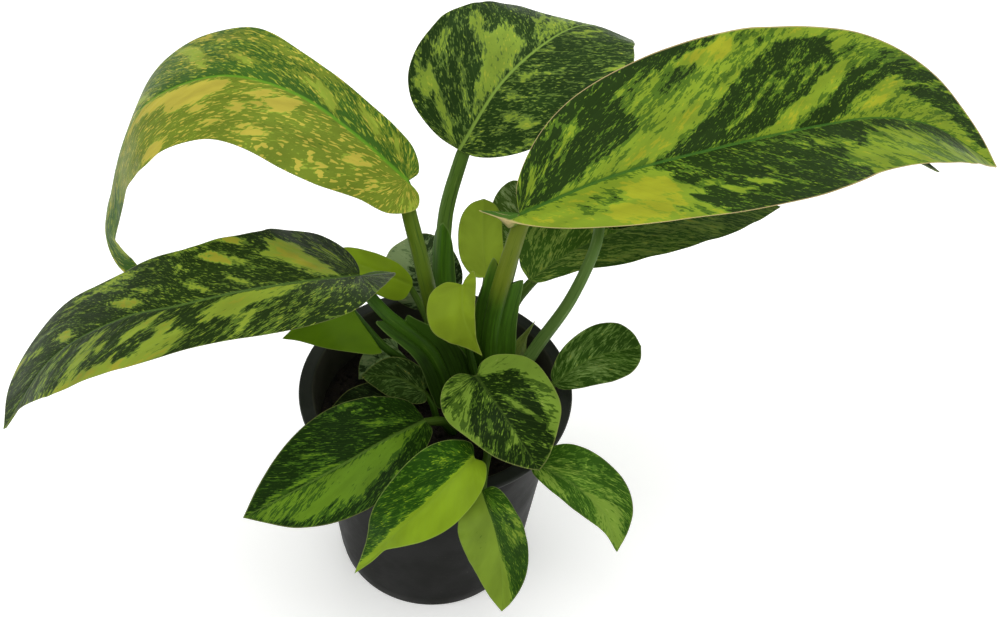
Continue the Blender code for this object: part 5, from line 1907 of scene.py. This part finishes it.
@dataclass(frozen=True)
class Pot:
    """The nursery pot: a tapered wall, a flat turned-out rim with a rolled edge, a floor with holes."""

    height: float = 127.0
    rim: float = 70.0
    rim_thickness: float = 3.0
    wall_top: float = 64.0
    base: float = 52.0
    wall: float = 1.6
    floor: float = 2.4
    fillet: float = 3.0
    lip: float = 2.2
    dish: float = 0.12
    stack_height: float = 9.0
    stack_step: float = 0.5
    sides: int = 160
    holes: int = 8
    hole_radius: float = 4.5
    hole_ring: float = 38.0
    hole_band: float = 8.0
    sharp: float = 38.0
    finish: PlasticFinish = field(default_factory=PlasticFinish)

    def radius_at(self, height: float) -> float:
        """Returns the wall's outer radius at a height."""
        return self.base + (self.wall_top - self.base) * height / self.height

    def _inner_side(self) -> list[Pair]:
        """Sets out the pot's inside.

        Returns:
            (radius, height) pairs from the middle of the floor up to the mouth.
        """
        floor, fillet, top = self.floor, self.fillet, self.height
        low = self.radius_at(floor) - self.wall
        mouth = self.wall_top - self.wall
        side = [(0.0, floor), (self.hole_ring - self.hole_band, floor)]
        side += [(self.hole_ring + self.hole_band, floor)]
        side += [(low - fillet, floor), (low - 0.3 * fillet, floor + 0.2 * fillet), (low, floor + fillet)]
        side += [(self.radius_at(height) - self.wall, height)
                 for height in np.linspace(floor + fillet, top - self.lip, 13)[1:]]
        return side + [(mouth + 0.15, top - 0.9), (mouth + 0.5, top - 0.3), (mouth + 1.2, top)]

    def _rim_side(self) -> list[Pair]:
        """Sets out the flat rim and its rolled edge.

        Returns:
            (radius, height) pairs from the mouth round the edge to the wall under the rim.
        """
        top, under = self.height, self.height - self.rim_thickness
        roll = self.rim_thickness / 2
        narrow = roll * 0.7
        side = [(self.wall_top - self.wall + 2.6, top - self.dish), (self.rim - 2.4, top - self.dish)]
        side += [(self.rim - 1.5, top)]
        side += [(self.rim - narrow + math.sin(turn) * narrow, top - roll + math.cos(turn) * roll)
                 for turn in np.linspace(0.0, math.pi, 10)[1:-1]]
        wall = self.radius_at(under)
        side += [(self.rim - 1.6, under), (wall + 1.4, under + 0.1), (wall + 0.4, under - 0.4)]
        return side + [(self.radius_at(under - 1.6), under - 1.6)]

    def _outer_side(self) -> list[Pair]:
        """Sets out the pot's outside, with the small step that keeps stacked pots apart.

        Returns:
            (radius, height) pairs from under the rim down to the middle of the base.
        """
        start, step, foot = self.height - self.rim_thickness - 1.6, self.stack_height, 2.0
        side = [(self.radius_at(height), height) for height in np.linspace(start, step, 15)[1:]]
        side += [(self.radius_at(step - 0.4) - self.stack_step, step - 0.5)]
        side += [(self.radius_at(foot) - self.stack_step, foot), (self.base - 0.9, 0.5)]
        side += [(self.base - foot, 0.0), (self.hole_ring + self.hole_band, 0.0)]
        return side + [(self.hole_ring - self.hole_band, 0.0), (0.0, 0.0)]

    def build(self) -> None:
        """Builds the pot and hands it over in place of its solid."""
        piece = lathe("shown_pot", self._inner_side() + self._rim_side() + self._outer_side(), self.sides)
        above, below = 6.0, -3.0
        profile = [(0.0, above), (self.hole_radius, above), (self.hole_radius, below), (0.0, below)]
        drills = []
        for index in range(self.holes):
            angle = math.tau * (index + 0.5) / self.holes
            drill = lathe("drill_%d" % index, profile, 32)
            drill.location = Vector((math.cos(angle), math.sin(angle), 0.0)) * self.hole_ring * MM
            drills.append(drill)
        cut(piece, drills)
        piece.data.materials.append(self._material())
        piece.data.shade_smooth()
        piece.data.set_sharp_from_angle(angle=math.radians(self.sharp))
        hand_over(piece, "pot")

    def _colour(self, wiring: Wiring, place: Socket) -> Socket:
        """Wires the colours of the wall, the rim and the inside: one black plastic with painted shade on the
        wall and painted light on the rim and inside.

        Args:
            wiring: the pot's material.
            place: the place on the pot.

        Returns:
            The colour.
        """
        finish = self.finish
        across, deep, height = wiring.split(place)
        radius = wiring.math("SQRT", wiring.plus(wiring.times(across, across), wiring.times(deep, deep)))
        wall = wiring.plus(self.base * MM, wiring.times(height, (self.wall_top - self.base) / self.height))
        outside = wiring.between(wiring.minus(radius, wall), (-1.2 * MM, -0.4 * MM))
        # painted light: the rim's top band gets the lighter copy of the plastic
        low, high = self.height - self.rim_thickness - 1.0, self.height - 2.0
        rim = wiring.between(height, (low * MM, high * MM))
        shell = wiring.mix(rim, linear(finish.body), linear(finish.rim))
        # painted light: the inside gets the lighter copy of the plastic
        return wiring.mix(outside, linear(finish.inside), shell)

    def _material(self) -> bpy.types.Material:
        """Wires the pot's look.

        Returns:
            The material: black plastic with painted shade and light, moulding grain, fine scratches and a
                little dust.
        """
        finish = self.finish
        wiring = Wiring("pot_plastic")
        place = wiring.object_place()
        cloud = wiring.noise(place, finish.cloud, 4.0, 0.6)
        colour = wiring.shaded(self._colour(wiring, place), wiring.between(cloud, NOISE_CORE, finish.shade))
        specks = wiring.between(wiring.noise(place, finish.specks), finish.speck_reach)
        dusty = wiring.between(wiring.noise(place, finish.dusty, 5.0, 0.7), finish.dusty_reach)
        dust = wiring.times(wiring.times(specks, dusty), finish.dust_share)
        colour = wiring.mix(dust, colour, linear(finish.dust))
        scratches = wiring.stretched(place, finish.scratches, 2.0)
        reach = (finish.roughness - finish.gloss[0], finish.roughness + finish.gloss[1])
        gloss = wiring.between(cloud, NOISE_CORE, reach)
        roughness = wiring.plus(gloss, wiring.times(scratches, finish.scratch_gloss))
        scratched = wiring.times(scratches, finish.scratch_height)
        height = wiring.plus(wiring.noise(place, finish.grain), scratched)
        normal = wiring.bump(height, finish.relief)
        return wiring.finish(colour, roughness, normal, finish.specular)


@dataclass(frozen=True)
class SoilFinish:
    """The look of damp potting soil: its colours as sRGB, and its noise in cells to the metre."""

    damp: Triple = (14, 12, 9)
    dry: Triple = (34, 27, 20)
    chip: Triple = (58, 46, 32)
    coarse: float = 260.0
    fine: float = 1500.0
    fine_height: float = 0.6
    steps: Triple = (0.36, 0.56, 0.72)
    chips: Triple = (500.0, 900.0, 700.0)
    chip_reach: Pair = (0.70, 0.74)
    roughness: Pair = (0.78, 0.98)
    relief: Pair = (0.9, 0.0012)
    specular: float = 0.25


@dataclass(frozen=True)
class Soil:
    """The soil: one bumpy plug, and loose crumbs half sunk in it."""

    pot: Pot
    top: float = SOIL_TOP
    gap: float = 0.3
    mound: float = 1.2
    lumps: tuple[Triple, ...] = ((1.3, 0.07, 3.0), (0.9, 0.24, 9.0), (0.5, 0.7, 1.0))
    rings: int = 70
    sides: int = 180
    crumbs: int = 300
    crumb: Pair = (0.5, 1.9)
    crumb_reach: Pair = (0.02, 0.93)
    crumb_stretch: Pair = (0.6, 1.3)
    crumb_jitter: Pair = (0.82, 1.18)
    crumb_rise: float = 0.15
    large: Pair = (1.6, 0.06)
    seed: int = 5
    finish: SoilFinish = field(default_factory=SoilFinish)

    def _height(self, x: float, y: float, share: float) -> float:
        """Finds the soil's height at a place.

        Args:
            x: the place's x.
            y: the place's y.
            share: how far out it is, from 0 in the middle to 1 at the wall.

        Returns:
            The height, with lumps of three sizes.
        """
        height = self.top + self.mound * (1.0 - share ** 2)
        for tall, scale, page in self.lumps:
            height += tall * noise.noise(Vector((x * scale, y * scale, page)))
        return height

    def build(self) -> None:
        """Builds the soil and hands it over in place of its solid."""
        edge = self.pot.radius_at(self.top) - self.pot.wall - self.gap
        low = self.pot.floor + self.gap
        foot = self.pot.radius_at(low) - self.pot.wall - self.gap
        wall = ((foot - 3.0, low), (foot - 0.6, low + 2.6), (foot + 1.6, 20.0))
        rings = [circle(radius, height, self.sides) for radius, height in wall]
        for step in range(self.rings):
            share = 1.0 - step / self.rings
            ring = circle(edge * share, 0.0, self.sides)
            ring[:, 2] = [self._height(x, y, share) for x, y, _ in ring]
            rings.append(ring)
        places = np.vstack(rings + [[(0.0, 0.0, low)], [(0.0, 0.0, self._height(0.0, 0.0, 0.0))]])
        skin = Skin()
        skin.add(places, closed_faces(len(rings), self.sides), Surface.BLADE)
        self._add_crumbs(skin, edge)
        piece = skin.piece("shown_soil", [self._material()])
        hand_over(piece, "soil")

    def _add_crumbs(self, skin: Skin, edge: float) -> None:
        """Adds loose crumbs, each a rough ball, half sunk in the soil.

        Args:
            skin: what they are added to.
            edge: the soil's radius.
        """
        draw = np.random.default_rng(self.seed)
        ball, ball_faces = rough_ball(6, 9)
        large, large_share = self.large
        for _ in range(self.crumbs):
            turn = draw.uniform(0.0, math.tau)
            share = math.sqrt(draw.uniform(*self.crumb_reach))
            size = draw.uniform(*self.crumb) * (large if draw.uniform() < large_share else 1.0)
            stretch = draw.uniform(*self.crumb_stretch, 3) * size
            x, y = math.cos(turn) * share * edge, math.sin(turn) * share * edge
            jitter = draw.uniform(*self.crumb_jitter, (len(ball), 1))
            spin = np.array(Matrix.Rotation(draw.uniform(0.0, math.tau), 3, draw.normal(size=3).tolist()))
            middle = np.array((x, y, self._height(x, y, share) + self.crumb_rise * size))
            skin.add((ball * jitter * stretch) @ spin.T + middle, ball_faces, Surface.BLADE)

    def _material(self) -> bpy.types.Material:
        """Wires the soil's look.

        Returns:
            The material: damp dark peat with drier crumbs and pale chips.
        """
        finish = self.finish
        wiring = Wiring("potting_soil")
        place = wiring.object_place()
        coarse = wiring.noise(place, finish.coarse, 5.0, 0.65)
        fine = wiring.noise(place, finish.fine, 4.0, 0.7)
        colour = wiring.ramp(coarse, list(zip(finish.steps, (finish.damp, finish.dry, finish.damp))))
        chips = wiring.between(wiring.stretched(place, finish.chips, 1.0), finish.chip_reach)
        colour = wiring.mix(chips, colour, linear(finish.chip))
        height = wiring.plus(coarse, wiring.times(fine, finish.fine_height))
        normal = wiring.bump(height, finish.relief)
        roughness = wiring.between(fine, NOISE_CORE, finish.roughness)
        return wiring.finish(colour, roughness, normal, finish.specular)


@dataclass(frozen=True)
class StemFinish:
    """The look of a green stem with dry scar rings, as sRGB, and its noise in cells to the metre."""

    dark: Triple = (44, 60, 24)
    main: Triple = (72, 92, 36)
    dry: Triple = (120, 116, 66)
    scar: Triple = (112, 96, 62)
    scar_share: float = 0.6
    streaks: Triple = (700.0, 700.0, 60.0)
    steps: Triple = (0.35, 0.5, 0.68)
    rings: Triple = (30.0, 30.0, 900.0)
    ring_reach: Pair = (0.56, 0.66)
    roughness: Pair = (0.48, 0.68)
    relief: Pair = (0.6, 0.0006)


@dataclass(frozen=True)
class Crown:
    """The short ringed stem that the stalks leave from."""

    radius: float = 7.0
    top: float = CROWN_TOP
    dome: float = 3.0
    scars: int = 4
    scar: Outline = ((0.88, 0.3), (0.98, 0.9), (0.99, 1.5), (0.93, 2.0), (0.90, 3.2))
    sides: int = 60
    finish: StemFinish = field(default_factory=StemFinish)

    def build(self) -> None:
        """Builds the crown and hands it over in place of its solid."""
        shoulder = self.top - self.dome
        top, wide = self.top, self.radius
        profile = [(0.0, top), (wide * 0.5, top - 0.4), (wide * 0.85, top - 2.5)]
        step = (shoulder - STRAIGHT_TO) / self.scars
        for index in range(self.scars):
            profile += [(wide * share, shoulder - index * step - down) for share, down in self.scar]
        profile += [(wide * 0.9, STRAIGHT_TO), (wide * 0.9, FOOT_LEVEL), (0.0, FOOT_LEVEL)]
        piece = lathe("shown_crown", profile, self.sides)
        piece.data.transform(Matrix.Translation((CROWN_AT[0] * MM, CROWN_AT[1] * MM, 0.0)))
        piece.data.materials.append(self._material())
        piece.data.shade_smooth()
        hand_over(piece, "crown")

    def _material(self) -> bpy.types.Material:
        """Wires the crown's look.

        Returns:
            The material: green stem with pale scar rings and dry flecks.
        """
        finish = self.finish
        wiring = Wiring("stem_green")
        place = wiring.object_place()
        streaks = wiring.stretched(place, finish.streaks, 4.0)
        rings = wiring.stretched(place, finish.rings, 2.0)
        colour = wiring.ramp(streaks, list(zip(finish.steps, (finish.dark, finish.main, finish.dry))))
        scar = wiring.between(rings, finish.ring_reach, (0.0, finish.scar_share))
        colour = wiring.mix(scar, colour, linear(finish.scar))
        roughness = wiring.between(streaks, NOISE_CORE, finish.roughness)
        return wiring.finish(colour, roughness, wiring.bump(streaks, finish.relief))


@dataclass(frozen=True)
class SpearFinish:
    """The look of the rolled leaf: its greens as sRGB, and its noise in cells to the millimetre."""

    foot: Triple = (82, 112, 26)
    tip: Triple = (124, 142, 60)
    line: Triple = (70, 102, 26)
    line_share: float = 0.5
    lines: Triple = (1.6, 1.6, 0.03)
    line_reach: Pair = (0.4, 0.65)
    paler: Pair = (5.0, 45.0)
    roughness: Pair = (0.38, 0.5)
    relief: Pair = (0.4, 0.0003)


@dataclass(frozen=True)
class Spear:
    """The rolled young leaf that has not opened yet."""

    path: tuple[Triple, ...] = ((42, 19, 106), (43, 26, 130), (50, 27, 149))
    radius: float = 4.2
    foot_share: float = 0.6
    full_by: float = 1.4
    taper: Pair = (1.02, 1.7)
    seam: float = 0.16
    sides: int = 36
    steps: int = 22
    finish: SpearFinish = field(default_factory=SpearFinish)

    def build(self) -> None:
        """Builds the spear and hands it over in place of its solid."""
        foot = self.path[0][:2] + (FOOT_LEVEL,)
        path = np.vstack((foot, smooth_path(self.path, self.steps)))
        share = np.arange(len(path)) / (len(path) - 1)
        swell = np.sin(math.pi * np.clip(share * self.full_by, 0.0, 1.0))
        radii = self.radius * (self.foot_share + (1.0 - self.foot_share) * swell)
        radii = radii * np.clip((self.taper[0] - share) * self.taper[1], 0.0, 1.0)
        skin = Skin()
        add_tube(skin, path, radii, self.sides, 3, Surface.BLADE, self.seam)
        piece = skin.piece("shown_spear_lime", [self._material()])
        hand_over(piece, "spear_lime")

    def _material(self) -> bpy.types.Material:
        """Wires the spear's look.

        Returns:
            The material: pale lime, greener at its foot, with fine lengthwise lines.
        """
        finish = self.finish
        wiring = Wiring("spear_lime")
        grain = wiring.field("grain")
        lines = wiring.stretched(grain, finish.lines, 3.0)
        rise = wiring.between(wiring.split(grain)[2], finish.paler)
        colour = wiring.mix(rise, linear(finish.foot), linear(finish.tip))
        line = wiring.between(lines, finish.line_reach, (0.0, finish.line_share))
        colour = wiring.mix(line, colour, linear(finish.line))
        roughness = wiring.between(lines, NOISE_CORE, finish.roughness)
        return wiring.finish(colour, roughness, wiring.bump(lines, finish.relief))


# Studio


@dataclass(frozen=True)
class FloorFinish:
    """The look of the studio floor, with a faint glow that keeps it nearly as pale as the photo's ground."""

    colour: Triple = (252, 252, 252)
    roughness: float = 0.65
    glow: float = 0.30
    grain: float = 6.0
    shade: Pair = (0.98, 1.0)
    specular: float = 0.2


@dataclass(frozen=True)
class SoftLight:
    """One square soft light: its place, what it faces and its side in metres, and its power in watts."""

    name: str
    place: Triple
    aim: Triple
    size: float
    power: float

    def hang(self) -> None:
        """Adds the light to the scene."""
        lamp = bpy.data.lights.new(self.name, "AREA")
        lamp.size = self.size
        lamp.energy = self.power
        holder = show(bpy.data.objects.new(self.name, lamp))
        holder.location = self.place
        holder.rotation_euler = (Vector(self.aim) - Vector(self.place)).to_track_quat("-Z", "Y").to_euler()


LIGHTS = (
    SoftLight("light_over", (0.1, 0.2, 1.5), (0.0, 0.0, 0.15), 1.7, 18.5),
    SoftLight("light_left", (-1.5, -0.7, 1.1), (0.0, 0.0, 0.15), 1.1, 7.0),
    SoftLight("light_right", (1.3, -1.2, 0.7), (0.05, 0.0, 0.12), 0.9, 4.0),
)


@dataclass(frozen=True)
class Studio:
    """The plain pale floor, the soft lights and the camera at the photo's view.

    The camera's distance and its elevation are measured from the middle of the pot's rim. It looks there
    first, and is then tilted, panned and rolled, all in degrees.
    """

    reach: float = 4.0
    aim_height: float = 127.0
    distance: float = 643.0
    elevation: float = 48.8
    pan: float = 2.8
    tilt: float = 3.6
    roll: float = 1.8
    lens: float = 45.0
    sensor: float = 36.0
    surround: Colour = (1.0, 1.0, 0.98, 1.0)
    surround_strength: float = 0.62
    lights: tuple[SoftLight, ...] = LIGHTS
    finish: FloorFinish = field(default_factory=FloorFinish)

    def build(self) -> None:
        """Sets the floor, the lights, the surroundings, the camera and the view of the picture."""
        self._floor()
        for light in self.lights:
            light.hang()
        world = bpy.data.worlds.new("studio")
        world.use_nodes = True
        background = world.node_tree.nodes["Background"]
        background.inputs["Color"].default_value = self.surround
        background.inputs["Strength"].default_value = self.surround_strength
        bpy.context.scene.world = world
        bpy.context.scene.view_settings.view_transform = "Standard"
        self._camera()

    def _floor(self) -> None:
        """Lays the floor."""
        reach, finish = self.reach, self.finish
        corners = [(-reach, -reach, 0.0), (reach, -reach, 0.0), (reach, reach, 0.0), (-reach, reach, 0.0)]
        mesh = bpy.data.meshes.new("floor")
        mesh.from_pydata(corners, [], [(0, 1, 2, 3)])
        floor = show(bpy.data.objects.new("floor", mesh))
        wiring = Wiring("floor")
        grain = wiring.noise(wiring.object_place(), finish.grain, 3.0)
        colour = wiring.shaded(linear(finish.colour), wiring.between(grain, NOISE_CORE, finish.shade))
        wiring.shader.inputs["Emission Color"].default_value = linear(finish.colour)
        wiring.shader.inputs["Emission Strength"].default_value = finish.glow
        floor.data.materials.append(wiring.finish(colour, finish.roughness, None, finish.specular))

    def _camera(self) -> None:
        """Sets the camera and makes it the scene's own."""
        rise = math.radians(self.elevation)
        aim = Vector((0.0, 0.0, self.aim_height))
        place = aim + Vector((0.0, -math.cos(rise), math.sin(rise))) * self.distance
        right = Vector((1.0, 0.0, 0.0))
        ahead = (aim - place).normalized()
        ahead, above = turned(ahead, right.cross(ahead), self.tilt)
        ahead, right = turned(ahead, right, self.pan)
        right, above = turned(right, above, self.roll)
        lens = bpy.data.cameras.new("camera")
        lens.lens = self.lens
        lens.sensor_width = self.sensor
        lens.sensor_fit = "HORIZONTAL"
        lens.clip_start = 0.01
        lens.dof.use_dof = False
        camera = show(bpy.data.objects.new("camera", lens))
        turn = Matrix((right, above, -ahead)).transposed().to_4x4()
        camera.matrix_world = Matrix.Translation(place * MM) @ turn
        bpy.context.scene.camera = camera


def turned(first: Vector, second: Vector, degrees: float) -> tuple[Vector, Vector]:
    """Turns two square directions in their own plane.

    Args:
        first: the direction that turns towards the second.
        second: the direction that turns away from the first.
        degrees: how far they turn.

    Returns:
        Both directions after the turn.
    """
    angle = math.radians(degrees)
    return (first * math.cos(angle) + second * math.sin(angle),
            second * math.cos(angle) - first * math.sin(angle))


def main() -> None:
    """Builds every piece in order, round the frame."""
    logging.basicConfig(level=logging.INFO, format="%(name)s %(message)s")
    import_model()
    pot = Pot()
    pot.build()
    Soil(pot).build()
    Crown().build()
    Spear().build()
    for seed, shape in enumerate(LEAVES):
        Leaf(shape, seed).build()
    Studio().build()
    bpy.context.view_layer.update()
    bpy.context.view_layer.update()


if __name__ == "__main__":
    main()
